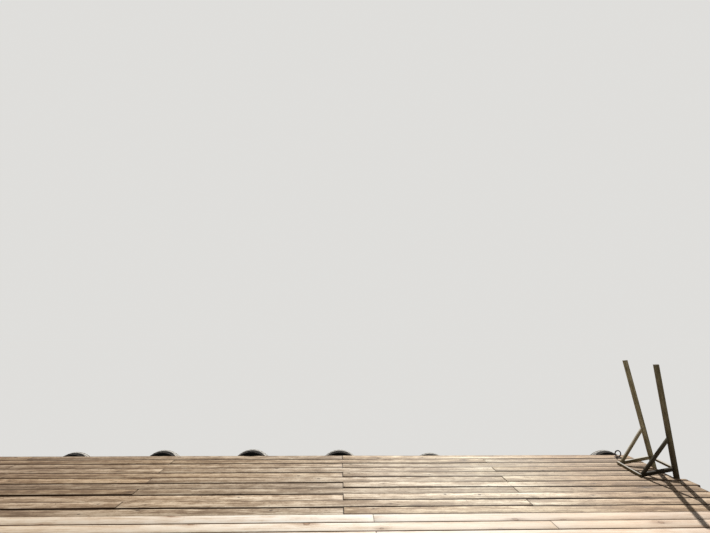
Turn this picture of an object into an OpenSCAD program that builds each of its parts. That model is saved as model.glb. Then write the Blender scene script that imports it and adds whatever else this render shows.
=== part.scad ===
// Wooden jetty: six bays of staggered boards on joists, twin beams and round piles,
// with worn tyres as fenders along the lake edge and a leaning bathing ladder at one end.
// X runs along the boards, Y towards open water, Z up. The pile feet stand on Z = 0.

/* [Deck] */
// Length of one bay, from joint line to joint line
bay_l = 1930; // [1500:10:2400]
// Number of bays
bays = 6; // [3:1:6]
// Height of the old boards' top above the pile feet
deck_h = 1400; // [1250:10:2400]
// Width of one board
board_w = 145; // [120:1:160]
// Gap between two rows of boards
row_gap = 5; // [3:1:8]
// Gap between two boards end to end
butt_gap = 4; // [2:1:8]
// Thickness of the old weathered boards
old_board_t = 28; // [22:1:38]
// Thickness of the newer pale boards
new_board_t = 32; // [24:1:42]
// Rows of old boards, counted from the lake edge
old_rows = 11; // [8:1:12]
// Rows of newer boards behind them
new_rows = 5; // [2:1:6]
// How far the boards run past the end rim at the ladder end
end_overhang = 57; // [45:1:90]
// How far the two long boards stick out past their neighbours
long_board_proud = 45; // [0:1:55]
// Row of the second long board
long_board_row = 7; // [7:1:8]
// How far the joint lines lie off the bay lines, by turns to either side
joint_drift = 72; // [0:1:120]
// How far the joints of the newer rows lie past every second joint line
new_joint_shift = 260; // [120:10:500]

/* [Joists and rims] */
// Height of the joists
joist_h = 145; // [120:5:195]
// Thickness of a single joist, a rim and a fascia plank
plank_t = 45; // [38:1:60]
// Joists between two joint lines
mid_joists = 2; // [1:1:3]
// Height of the fascia planks along both edges
fascia_h = 195; // [170:5:240]

/* [Beams and piles] */
// Height of the twin beams that clasp the piles
beam_h = 195; // [150:5:240]
// Thickness of one beam plank
beam_t = 45; // [38:1:60]
// Diameter of the round piles
pile_d = 180; // [160:5:240]
// Thickness of the squared pile head between the twin beams
pile_head_t = 130; // [90:5:150]
// Distance from a deck edge to the pile axis
pile_inset = 240; // [220:5:400]
// Distance from a deck end to the axis of the end piles
pile_end_inset = 190; // [170:5:400]

/* [Tyre fenders] */
// Outer diameter of a tyre
tyre_d = 580; // [540:5:640]
// Bead diameter, where the wheel once sat
bead_d = 360; // [330:5:400]
// Width over the sidewalls
tyre_w = 165; // [135:5:195]
// Rubber thickness at the sidewall
sidewall_t = 9; // [7:0.5:12]
// Rubber thickness at the tread
tread_t = 16; // [13:0.5:20]
// Width of a tread groove
groove_w = 8; // [5:0.5:10]
// Depth of a tread groove
groove_deep = 5; // [3:0.5:8]
// Places for tyres along the edge of six bays
tyre_places = 10; // [6:1:10]
// Distance from the ladder end to the first place
first_tyre = 280; // [150:5:400]
// Distance from the landward end to the last place
last_tyre = 860; // [400:10:1100]
// Height of a tyre's top above the boards
tyre_rise = 40; // [20:1:90]
// How far the sagging tyre hangs below its neighbours
tyre_sag = 46; // [0:1:60]

/* [Bathing ladder] */
// Distance from the lake edge to the middle of the ladder
ladder_inset = 627; // [560:1:680]
// Turn of the ladder in plan, far stile outwards
ladder_turn = 6; // [0:0.5:9]
// Distance between the stile axes at deck level
stile_span = 390; // [360:5:440]
// Stile size along the boards
stile_w = 45; // [38:1:50]
// Stile size across the boards
stile_t = 40; // [34:1:50]
// Lean of the stiles towards the land at the top
lean = 7.5; // [4:0.5:9]
// How much each stile opens out towards the top
splay = 4.7; // [0:0.1:5]
// Stile length above the boards
stile_above = 1265; // [900:5:1300]
// Stile length below the boards
stile_below = 860; // [800:10:1150]
// Rungs below the boards
rungs = 3; // [2:1:3]
// Distance from the boards' top to the first rung
first_rung = 200; // [150:5:220]
// Distance between two rungs
rung_pitch = 260; // [220:5:280]
// Rung height
rung_h = 34; // [28:1:40]
// Rung depth
rung_deep = 38; // [30:1:38]
// How deep a rung is let into each stile
rung_housing = 10; // [6:1:14]
// Length of the low arms from stile to foot bar
arm_l = 352; // [280:1:420]
// Height of the low arms
arm_h = 36; // [28:1:45]
// Slope of the low arms, rising from their inland foot to the stile
arm_rise = 12; // [8:0.5:14]
// Thickness of the low arms and the braces
arm_t = 32; // [26:1:34]
// Height of the braces
brace_h = 28; // [24:1:34]
// Height on the stile, above the boards, where the brace meets it
brace_rise = 440; // [350:5:520]
// Size of the square foot bar and of the tie between the stiles
bar_s = 28; // [24:1:34]
// How far the foot bar runs past the far arm
bar_proud = 30; // [20:5:80]

/* [Mooring eye] */
// Outer diameter of the ring
eye_d = 88; // [70:1:110]
// Thickness of the ring's half-round bar
eye_bar = 14; // [12:1:18]
// Distance from the ladder end to the eye
eye_end_inset = 204; // [160:1:320]
// Distance from the lake edge to the eye
eye_edge_inset = 110; // [90:1:200]
// Side of the square foot plate
eye_plate = 64; // [60:1:90]
// Thickness of the foot plate
eye_plate_t = 6; // [5:1:10]

/* [Hidden] */
$fn = 64;
slack = 0.3;
notch_clear = 4;

rows = old_rows + new_rows;
row_pitch = board_w + row_gap;
deck_w = rows * row_pitch - row_gap;
deck_l = bays * bay_l;
joist_top = deck_h - old_board_t;
beam_top = joist_top - joist_h;
rim_x = deck_l - end_overhang;
short_joist_l = (new_rows + 1) * row_pitch;

// Middle of the ladder at deck level: its near stile leans on the edge of the end rim.
face_out = stile_w / 2 / cos(lean);
side_out = stile_t / 2 / cos(splay);
ladder_x = rim_x + slack + face_out * cos(ladder_turn) + (side_out + stile_span / 2) * sin(ladder_turn);

// Places for tyres are spread evenly and counted from the ladder end. The second one has
// lost its own.
places = round(tyre_places * bays / 6);
tyre_pitch = (deck_l - first_tyre - last_tyre) / (places - 1);
lost_place = 1;
// Small shifts of the hand-hung tyres from an even spacing, and drops from an even height.
tyre_shift = [-30, 0, 20, 60, 40, 15, -30, 0, 0, 0];
tyre_drop = [15, 0, tyre_sag, 4, -4, 3, 24, 10, 0, 18];
function tyre_x(k) = deck_l - first_tyre - k * tyre_pitch - tyre_shift[k];
tyre_list = [for (k = [0 : places - 1]) if (k != lost_place) k];
tyre_half = tyre_w / 2;

// The whole is centred on its own box.
low_y = -deck_w;
high_y = slack + tyre_w;

// Furthest corner of the far stile's lower end.
stile_foot_x = stile_w / 2 * cos(lean)
    + (stile_t / 2 * sin(splay) + stile_below * cos(splay)) * sin(lean);
stile_foot_y = stile_span / 2 + stile_t / 2 * cos(splay) - stile_below * sin(splay);
stile_reach = ladder_x + stile_foot_x * cos(ladder_turn) + stile_foot_y * sin(ladder_turn);
shift_x = -max(deck_l + long_board_proud, stile_reach) / 2;
shift_y = -(low_y + high_y) / 2;

old_grey = "#9c8b76";
new_pale = "#e3d3b6";
tar_brown = "#6b5a47";
stile_olive = "#6a6044";
rubber = "#26262a";
rusty = "#4a4039";

module placed() {
    translate([shift_x, shift_y, 0]) children();
}

// Bay lines are counted from the landward end, and every second one from the ladder end is
// an even one. A joint line lies near each of them.
function even_line(b) = (bays - b) % 2 == 0;
function joint_line(b) = b * bay_l + (even_line(b) ? joint_drift : -joint_drift);
function joist_mark(b) = b == 0 ? 0 : b == bays ? deck_l : joint_line(b);
function new_joint(b) = joint_line(b) + (even_line(b) ? new_joint_shift : 0);
// Bay lines from the first one that isn't the landward end, at a step.
function lines(first, step) = [for (b = [first : step : bays - 1]) if (b > 0) b];

// A plank of several lengths in line.
module planks_in_line(from, to, cuts, y, t, z, h) {
    starts = concat([from], [for (c = cuts) c + butt_gap / 2]);
    ends = concat([for (c = cuts) c - butt_gap / 2], [to]);
    for (i = [0 : len(starts) - 1])
        translate([starts[i], y, z]) cube([ends[i] - starts[i], t, h]);
}

// The ladder's place on the deck: origin between the stile feet, turned with the ladder.
module ladder_place() {
    translate([ladder_x, -ladder_inset, deck_h]) rotate(-ladder_turn) children();
}

// Notch in the ends of the boards, where the stiles pass down.
module ladder_notch() {
    half = stile_span / 2 + side_out + notch_clear;
    deep = max(old_board_t, new_board_t) * 2;
    ladder_place() translate([-face_out - slack, -half, -deep])
        cube([end_overhang + long_board_proud + stile_span, 2 * half, 2 * deep]);
}

module board_row(row, t, cuts) {
    y = -row * row_pitch + row_gap;
    long = row == long_board_row || row == long_board_row - 1;
    placed() difference() {
        planks_in_line(0, deck_l + (long ? long_board_proud : 0), cuts, y, board_w, joist_top, t);
        ladder_notch();
    }
}

// Old rows at the lake edge start with a whole board at the ladder end, the next with half.
module old_row(row) {
    cuts = [for (b = lines((bays + row + 1) % 2, 2)) joint_line(b)];
    if (row <= old_rows) color(old_grey) board_row(row, old_board_t, cuts);
}

// The newer rows have boards of two bays and of three by turns.
module new_row(place) {
    bay_lines = place % 2 == 1 ? lines(bays % 2, 2) : lines((bays - 1) % 3, 3);
    cuts = [for (b = bay_lines) new_joint(b)];
    if (place <= new_rows) color(new_pale) board_row(old_rows + place, new_board_t, cuts);
}

module joist(x, t, l = deck_w - 2 * plank_t) {
    translate([x - t / 2, -deck_w + plank_t, beam_top]) cube([t, l, joist_h]);
}

// A doubled joist under every line where boards meet.
module joint_joists() {
    color(tar_brown) placed() for (b = [1 : bays - 1]) joist(joint_line(b), 2 * plank_t);
}

// Between the joint lines, with short doubled joists over the shore beams that carry
// the joints of the newer rows lying past the joint lines.
module mid_joists() {
    parts = mid_joists + 1;
    color(tar_brown) placed() {
        for (b = [0 : bays - 1])
            for (m = [1 : mid_joists])
                joist((joist_mark(b) * (parts - m) + joist_mark(b + 1) * m) / parts, plank_t);
        for (b = lines(bays % 2, 2)) joist(new_joint(b), 2 * plank_t, short_joist_l);
    }
}

module ladder_end_rim() {
    color(tar_brown) placed() joist(rim_x - plank_t / 2, plank_t);
}

module landward_end_rim() {
    color(tar_brown) placed() joist(plank_t / 2, plank_t);
}

// Fascias and beams are cut over the piles, at every second bay line.
module fascia(y, first) {
    cuts = lines(first, 2) * bay_l;
    color(tar_brown) placed()
        planks_in_line(0, rim_x, cuts, y, plank_t, joist_top - fascia_h, fascia_h);
}

module beam(y, first) {
    cuts = lines(first, 2) * bay_l;
    color(tar_brown) placed()
        planks_in_line(0, rim_x, cuts, y, beam_t, beam_top - beam_h, beam_h);
}

// Round pile whose head is squared so that the twin beams sit on its shoulders.
module pile(x, y) {
    translate([x, y, 0]) difference() {
        cylinder(d = pile_d, h = beam_top);
        for (side = [-1, 1])
            translate([-pile_d, side * (pile_head_t / 2 + pile_d) - pile_d, beam_top - beam_h])
                cube([2 * pile_d, 2 * pile_d, beam_h + 1]);
    }
}

function pile_x(b) = b == 0 ? pile_end_inset : b == bays ? rim_x - pile_end_inset : b * bay_l;

module pile_line(y) {
    color(tar_brown) placed() for (b = [0 : bays]) pile(pile_x(b), y);
}

// Tyre section in (radius, axial) coordinates: a rounded box, open between its two beads.
function rounded(v) = sign(v) * pow(abs(v), 0.78);
section_mid = (tyre_d + bead_d) / 4;
section_reach = (tyre_d - bead_d) / 4;
bead_angle = 50;
bead_heel = 12;
bead_toe = 20;
function section_point(a, reach, half) =
    [section_mid + reach * rounded(sin(a)), half * rounded(cos(a))];

module tyre_section() {
    bead_t = tyre_half * rounded(cos(bead_angle));
    outer = [for (a = [-bead_angle : 10 : 180 + bead_angle])
        section_point(a, section_reach, tyre_half)];
    inner = [for (a = [180 + bead_angle : -10 : -bead_angle])
        section_point(a, section_reach - tread_t, tyre_half - sidewall_t)];
    bead = [[bead_d / 2 + 2, bead_t - bead_toe], [bead_d / 2, bead_t - bead_heel]];
    far_bead = [[bead_d / 2, bead_heel - bead_t], [bead_d / 2 + 2, bead_toe - bead_t]];
    difference() {
        polygon(concat(bead, outer, far_bead, inner));
        for (g = [-1 : 1])
            translate([tyre_d / 2 - groove_deep, g * tyre_w / 5 - groove_w / 2])
                square([tyre_d, groove_w]);
    }
}

// A tyre stands upright, flat against the lake fascia.
module tyre(place) {
    z = deck_h + tyre_rise - tyre_drop[place] - tyre_d / 2;
    color(rubber) placed() translate([tyre_x(place), slack + tyre_half, z])
        rotate([90, 0, 0]) rotate_extrude($fn = 72) tyre_section();
}

module tyre_number(n) {
    if (n <= len(tyre_list)) tyre(tyre_list[n - 1]);
}

// Half the distance between the stile axes at a height along the leaning ladder.
function half_span(z) = stile_span / 2 + z * tan(splay);

// The leaning plane that holds both stiles, and in it the frame of one stile.
module leaning() {
    placed() ladder_place() rotate([0, -lean, 0]) children();
}

module on_side(side) {
    leaning() translate([0, side * stile_span / 2, 0]) rotate([-side * splay, 0, 0]) children();
}

module rung_bars(clear) {
    for (r = [0 : rungs - 1]) {
        z = -first_rung - r * rung_pitch;
        half = half_span(z) - side_out + rung_housing + clear;
        translate([-rung_deep / 2 - clear, -half, z - rung_h / 2 - clear])
            cube([rung_deep + 2 * clear, 2 * half, rung_h + 2 * clear]);
    }
}

module stile(side) {
    color(stile_olive) difference() {
        on_side(side) translate([-stile_w / 2, -stile_t / 2, -stile_below])
            cube([stile_w, stile_t, stile_below + stile_above]);
        leaning() rung_bars(slack);
    }
}

module ladder_rungs() {
    color(stile_olive) leaning() rung_bars(0);
}

// Side triangles lie in the plane of their stile: x runs outwards and square to it, z up
// along it. Its land face is the line x = -land, and a level line slopes by -level.
land = stile_w / 2 + slack;
level = tan(lean) / cos(splay);
plumb = 1 / tan(lean) * cos(splay);
arm_slope = tan(arm_rise - lean) / cos(splay);
arm_lift = (slack + arm_t / 2 * sin(splay) * cos(lean)) / (cos(lean) * cos(splay));
arm_low = [-land - arm_l, arm_lift + (land + arm_l) * level];
arm_up = arm_h * sqrt(1 + arm_slope * arm_slope);
arm_high = crossing(arm_low, plumb, arm_low + [0, arm_up], arm_slope);
tie_z = (on_land(arm_low, arm_slope).y + arm_up / 2) * cos(splay);

// Where a line through a point with a slope meets the stile's land face.
function on_land(p, slope) = [-land, p.y + (-land - p.x) * slope];
// Where two lines meet, each through a point with a slope.
function crossing(p, slope_p, q, slope_q) =
    let (x = (q.y - p.y + p.x * slope_p - q.x * slope_q) / (slope_p - slope_q))
        [x, p.y + (x - p.x) * slope_p];

module side_piece(side) {
    on_side(side) translate([0, arm_t / 2, 0]) rotate([90, 0, 0]) linear_extrude(arm_t) children();
}

module ladder_arms() {
    color(stile_olive) for (side = [-1, 1]) side_piece(side) polygon([
        arm_low,
        on_land(arm_low, arm_slope),
        on_land(arm_low + [0, arm_up], arm_slope),
        arm_high,
    ]);
}

// A brace stands on the arm's inland end and is cut to the stile's land face.
module ladder_braces() {
    heel = arm_high + [0, slack];
    head = [-land, brace_rise / cos(lean) / cos(splay)];
    slope = (head.y - heel.y) / (head.x - heel.x);
    under = heel - [0, brace_h * sqrt(1 + slope * slope)];
    color(stile_olive) for (side = [-1, 1]) side_piece(side) polygon([
        heel,
        crossing(under, slope, heel, arm_slope),
        on_land(under, slope),
        head,
    ]);
}

// Foot bar flat on the boards, across the inland ends of both arms.
module ladder_foot_bar() {
    inland = arm_low.x * cos(lean) - arm_low.y * sin(lean) * cos(splay);
    half = stile_span / 2 + arm_t / 2;
    color(stile_olive) placed() ladder_place()
        translate([inland - slack - bar_s, -half, slack])
            cube([bar_s, 2 * half + bar_proud, bar_s]);
}

// Tie between the stiles, level with the outer ends of the arms, cut to their splay.
module ladder_tie_bar() {
    low = tie_z - bar_s / 2;
    high = tie_z + bar_s / 2;
    function end(z) = half_span(z) - side_out - slack;
    color(stile_olive) leaning() translate([-bar_s / 2, 0, 0]) rotate([90, 0, 90])
        linear_extrude(bar_s)
            polygon([[-end(low), low], [end(low), low], [end(high), high], [-end(high), high]]);
}

// Fixed steel ring on a foot plate, for a mooring line: half-round bar, flat side inwards.
module mooring_eye() {
    ring_z = eye_plate_t + eye_d / 2 - eye_bar / 4;
    color(rusty) placed() translate([deck_l - eye_end_inset, -eye_edge_inset, deck_h]) {
        translate([-eye_plate / 2, -eye_plate / 2, 0]) cube([eye_plate, eye_plate, eye_plate_t]);
        translate([0, 0, ring_z]) rotate([90, 0, 0]) rotate_extrude() {
            translate([eye_d / 2 - eye_bar / 2, 0]) circle(d = eye_bar);
            translate([eye_d / 2 - eye_bar, -eye_bar / 2]) square([eye_bar / 2, eye_bar]);
        }
    }
}

old_row(1);  // old_boards_row_01
old_row(2);  // old_boards_row_02
old_row(3);  // old_boards_row_03
old_row(4);  // old_boards_row_04
old_row(5);  // old_boards_row_05
old_row(6);  // old_boards_row_06
old_row(7);  // old_boards_row_07
old_row(8);  // old_boards_row_08
old_row(9);  // old_boards_row_09
old_row(10);  // old_boards_row_10
old_row(11);  // old_boards_row_11
new_row(1);  // new_boards_row_12
new_row(2);  // new_boards_row_13
new_row(3);  // new_boards_row_14
new_row(4);  // new_boards_row_15
new_row(5);  // new_boards_row_16
joint_joists();
mid_joists();
ladder_end_rim();
landward_end_rim();
fascia(-plank_t, 1);  // lake_fascia
fascia(-deck_w, 2);  // shore_fascia
beam(-pile_inset + pile_head_t / 2, 2);  // lake_outer_beam
beam(-pile_inset - pile_head_t / 2 - beam_t, 1);  // lake_inner_beam
beam(-deck_w + pile_inset + pile_head_t / 2, 1);  // shore_inner_beam
beam(-deck_w + pile_inset - pile_head_t / 2 - beam_t, 2);  // shore_outer_beam
pile_line(-pile_inset);  // lake_piles
pile_line(-deck_w + pile_inset);  // shore_piles
tyre_number(1);  // tyre_fender_01
tyre_number(2);  // tyre_fender_02
tyre_number(3);  // tyre_fender_03
tyre_number(4);  // tyre_fender_04
tyre_number(5);  // tyre_fender_05
tyre_number(6);  // tyre_fender_06
tyre_number(7);  // tyre_fender_07
tyre_number(8);  // tyre_fender_08
tyre_number(9);  // tyre_fender_09
stile(1);  // ladder_far_stile
stile(-1);  // ladder_near_stile
ladder_rungs();
ladder_arms();
ladder_braces();
ladder_foot_bar();
ladder_tie_bar();
mooring_eye();
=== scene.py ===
"""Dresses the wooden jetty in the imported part's own frame.

Weathered boards on joists, twin beams and round piles, worn tyres as fenders along the lake
edge, a leaning bathing ladder and a mooring eye. Lengths are in metres, unless a comment or a
name says millimetres.
"""

from __future__ import annotations

import logging
import math
import random
from dataclasses import dataclass, field
from enum import Enum
from typing import Callable, Iterable, Sequence

import bmesh
import bpy
from mathutils import Matrix, Vector, noise

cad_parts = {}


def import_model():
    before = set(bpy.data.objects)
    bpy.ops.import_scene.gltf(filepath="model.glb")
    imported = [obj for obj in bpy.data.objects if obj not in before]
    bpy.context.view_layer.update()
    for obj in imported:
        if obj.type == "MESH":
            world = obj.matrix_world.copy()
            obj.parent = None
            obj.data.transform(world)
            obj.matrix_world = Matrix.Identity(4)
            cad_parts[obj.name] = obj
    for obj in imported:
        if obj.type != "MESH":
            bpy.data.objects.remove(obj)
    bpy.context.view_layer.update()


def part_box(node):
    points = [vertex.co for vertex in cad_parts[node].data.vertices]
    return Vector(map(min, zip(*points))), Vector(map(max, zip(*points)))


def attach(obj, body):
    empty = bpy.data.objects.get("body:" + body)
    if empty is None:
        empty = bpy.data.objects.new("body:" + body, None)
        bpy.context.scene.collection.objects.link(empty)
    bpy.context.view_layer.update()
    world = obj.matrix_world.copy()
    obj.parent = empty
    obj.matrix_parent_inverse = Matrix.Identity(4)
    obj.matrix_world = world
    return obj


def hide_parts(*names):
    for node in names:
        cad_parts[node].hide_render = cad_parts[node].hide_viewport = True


LOG = logging.getLogger("jetty")

Colour = tuple[float, float, float]
Cells = tuple[float, float, float]
Span = tuple[float, float]


# Measures that the sub-assemblies share


@dataclass(frozen=True)
class Layout:
    """Measures of the jetty, and the work lines that its pieces are set out from."""

    bay: float = 1.930
    bays: int = 6
    board_w: float = 0.145
    row_gap: float = 0.005
    butt_gap: float = 0.004
    old_rows: int = 11
    new_rows: int = 5
    joint_drift: float = 0.072
    new_joint_shift: float = 0.260
    long_rows: tuple[int, ...] = (6, 7)
    old_board_t: float = 0.028
    joist_h: float = 0.145
    plank_t: float = 0.045
    beam_h: float = 0.195
    beam_t: float = 0.045
    pile_d: float = 0.180
    pile_head_t: float = 0.130
    pile_inset: float = 0.240
    pile_end_inset: float = 0.190
    end_overhang: float = 0.057
    deck_h: float = 1.400

    @property
    def length(self) -> float:
        """Length of the deck without the long board."""
        return self.bay * self.bays

    @property
    def rows(self) -> int:
        """Number of rows of boards."""
        return self.old_rows + self.new_rows

    @property
    def pitch(self) -> float:
        """Distance from one row to the next."""
        return self.board_w + self.row_gap

    @property
    def width(self) -> float:
        """Width of the deck over the boards."""
        return self.rows * self.pitch - self.row_gap

    @property
    def left(self) -> float:
        """X of the landward end."""
        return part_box("old_boards_row_01")[0][0]

    @property
    def lake_edge(self) -> float:
        """Y of the boards' edge on the lake side."""
        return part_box("old_boards_row_01")[1][1]

    @property
    def right(self) -> float:
        """X of the boards' ends at the ladder end."""
        return self.left + self.length

    @property
    def rim_x(self) -> float:
        """X of the outer face of the rim at the ladder end."""
        return self.right - self.end_overhang

    @property
    def joist_top(self) -> float:
        """Z of the joists' tops."""
        return self.deck_h - self.old_board_t

    @property
    def beam_top(self) -> float:
        """Z of the beams' tops."""
        return self.joist_top - self.joist_h

    def joint_line(self, line: int) -> float:
        """Finds X where old boards meet near a bay line, counted from the landward end."""
        drift = 0.0 if line in (0, self.bays) else self.joint_drift
        return self.left + line * self.bay + (drift if (self.bays - line) % 2 == 0 else -drift)

    def new_joint(self, line: int) -> float:
        """Finds where the newer boards meet near a bay line."""
        return self.joint_line(line) + (self.new_joint_shift if (self.bays - line) % 2 == 0 else 0.0)

    def joints(self, row: int) -> list[float]:
        """Finds the butt joints of a row of boards.

        Args:
            row: Number of the row, counted from the lake edge.

        Returns:
            X of each joint, from the left.
        """
        place = row - self.old_rows
        if place < 1:
            return [self.joint_line(b) for b in range((self.bays + row + 1) % 2, self.bays, 2) if b > 0]
        first, step = (self.bays % 2, 2) if place % 2 == 1 else ((self.bays - 1) % 3, 3)
        return [self.new_joint(b) for b in range(first, self.bays, step) if b > 0]

    def lengths(self, first: int, start: float, end: float) -> list[Span]:
        """Finds the planks of a run that is cut at every second bay line from the first one."""
        cuts = [self.left + b * self.bay for b in range(first, self.bays, 2) if b > 0]
        return split(start, end, cuts, self.butt_gap)

    def joists(self) -> list[Span]:
        """Lists the joists that run the whole width.

        Returns:
            X of the middle and the thickness of each, doubled at the joints and single between.
        """
        marks = [self.joint_line(b) for b in range(self.bays + 1)]
        double = [(x, 2 * self.plank_t) for x in marks[1:-1]]
        single = [
            ((a * (3 - m) + b * m) / 3, self.plank_t) for a, b in zip(marks, marks[1:]) for m in (1, 2)
        ]
        return sorted(double + single)

    def short_joists(self) -> list[float]:
        """Lists X of the short doubled joists under the newer boards' own joints."""
        return [self.new_joint(b) for b in range(self.bays % 2, self.bays, 2) if b > 0]

    def pile_lines(self) -> list[float]:
        """Lists X of the pile axes."""
        inner = [self.left + b * self.bay for b in range(1, self.bays)]
        return [self.left + self.pile_end_inset, *inner, self.rim_x - self.pile_end_inset]


def split(start: float, end: float, cuts: Iterable[float], gap: float) -> list[Span]:
    """Divides a run at its cuts.

    Args:
        start: Where the run starts.
        end: Where the run ends.
        cuts: Where it is cut.
        gap: Gap left at each cut.

    Returns:
        Start and end of each part.
    """
    marks = sorted(cuts)
    starts = [start, *[c + gap / 2 for c in marks]]
    ends = [*[c - gap / 2 for c in marks], end]
    return list(zip(starts, ends))


# Shader work


class Signal:
    """A node's output socket that adds Math nodes when it is used in an expression."""

    def __init__(self, wiring: "Wiring", socket: bpy.types.NodeSocket) -> None:
        """Keeps the socket and the wiring that it belongs to."""
        self.wiring = wiring
        self.socket = socket

    def _math(self, operation: str, *values: "Signal | float", clamp: bool = False) -> "Signal":
        """Adds one Math node with its operands."""
        settings = {"operation": operation, "use_clamp": clamp}
        return self.wiring.node("ShaderNodeMath", settings, dict(enumerate(values)))

    def __add__(self, other: "Signal | float") -> "Signal":
        """Adds."""
        return self._math("ADD", self, other)

    __radd__ = __add__

    def __mul__(self, other: "Signal | float") -> "Signal":
        """Multiplies."""
        return self._math("MULTIPLY", self, other)

    __rmul__ = __mul__

    def __sub__(self, other: "Signal | float") -> "Signal":
        """Subtracts another value."""
        return self._math("SUBTRACT", self, other)

    def __rsub__(self, other: float) -> "Signal":
        """Subtracts this value from a number."""
        return self._math("SUBTRACT", other, self)

    def __truediv__(self, other: "Signal | float") -> "Signal":
        """Divides."""
        return self._math("DIVIDE", self, other)

    def __pow__(self, other: float) -> "Signal":
        """Raises to a power."""
        return self._math("POWER", self, other)

    def also(self, out: int | str) -> "Signal":
        """Takes another output of the same node."""
        return Signal(self.wiring, self.socket.node.outputs[out])

    def over(self, edge: float) -> "Signal":
        """Is 1 where the value is over an edge, else 0."""
        return self._math("GREATER_THAN", self, edge)

    def larger(self, other: "Signal") -> "Signal":
        """Takes the larger of two values."""
        return self._math("MAXIMUM", self, other)

    def sine(self) -> "Signal":
        """Takes the sine."""
        return self._math("SINE", self)

    def clamp(self) -> "Signal":
        """Keeps the value between 0 and 1."""
        return self._math("ADD", self, 0.0, clamp=True)

    def fade(self, low: float, high: float) -> "Signal":
        """Runs smoothly from 0 at low to 1 at high.

        Args:
            low: Value that gives 0.
            high: Value that gives 1. It may be the smaller one.

        Returns:
            The mask.
        """
        if low > high:
            return 1.0 - self.fade(high, low)
        settings = {"interpolation_type": "SMOOTHSTEP"}
        return self.wiring.node("ShaderNodeMapRange", settings, {0: self, 1: low, 2: high})


class Wiring:
    """A node tree that is being wired."""

    def __init__(self, tree: bpy.types.NodeTree) -> None:
        """Keeps the tree."""
        self.tree = tree

    def node(
        self, kind: str, settings: dict[str, object], values: dict[int | str, object], out: int | str = 0
    ) -> Signal:
        """Adds one node.

        Args:
            kind: Type of the node.
            settings: Its properties, set before its sockets. "stops" fills a colour ramp.
            values: Value or signal of each named or numbered input.
            out: Output to hand on.

        Returns:
            The chosen output.
        """
        node = self.tree.nodes.new(kind)
        for key, value in settings.items():
            if key == "stops":
                self._stops(node.color_ramp, value)
            else:
                setattr(node, key, value)
        for key, value in values.items():
            self.plug(node.inputs[key], value)
        return Signal(self, node.outputs[out])

    def plug(self, socket: bpy.types.NodeSocket, value: object) -> None:
        """Links a signal to an input, or sets the input to a value.

        Args:
            socket: The input.
            value: Signal, number, colour or vector.
        """
        if isinstance(value, Signal):
            self.tree.links.new(value.socket, socket)
        else:
            socket.default_value = value

    @staticmethod
    def _stops(ramp: bpy.types.ColorRamp, stops: Sequence[tuple[float, Colour]]) -> None:
        """Fills a colour ramp.

        Args:
            ramp: The ramp, which starts with two stops.
            stops: Place and colour of each stop.
        """
        while len(ramp.elements) < len(stops):
            ramp.elements.new(0.5)
        for element, (place, colour) in zip(ramp.elements, stops):
            element.position = place
            element.color = (*colour, 1.0)


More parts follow.
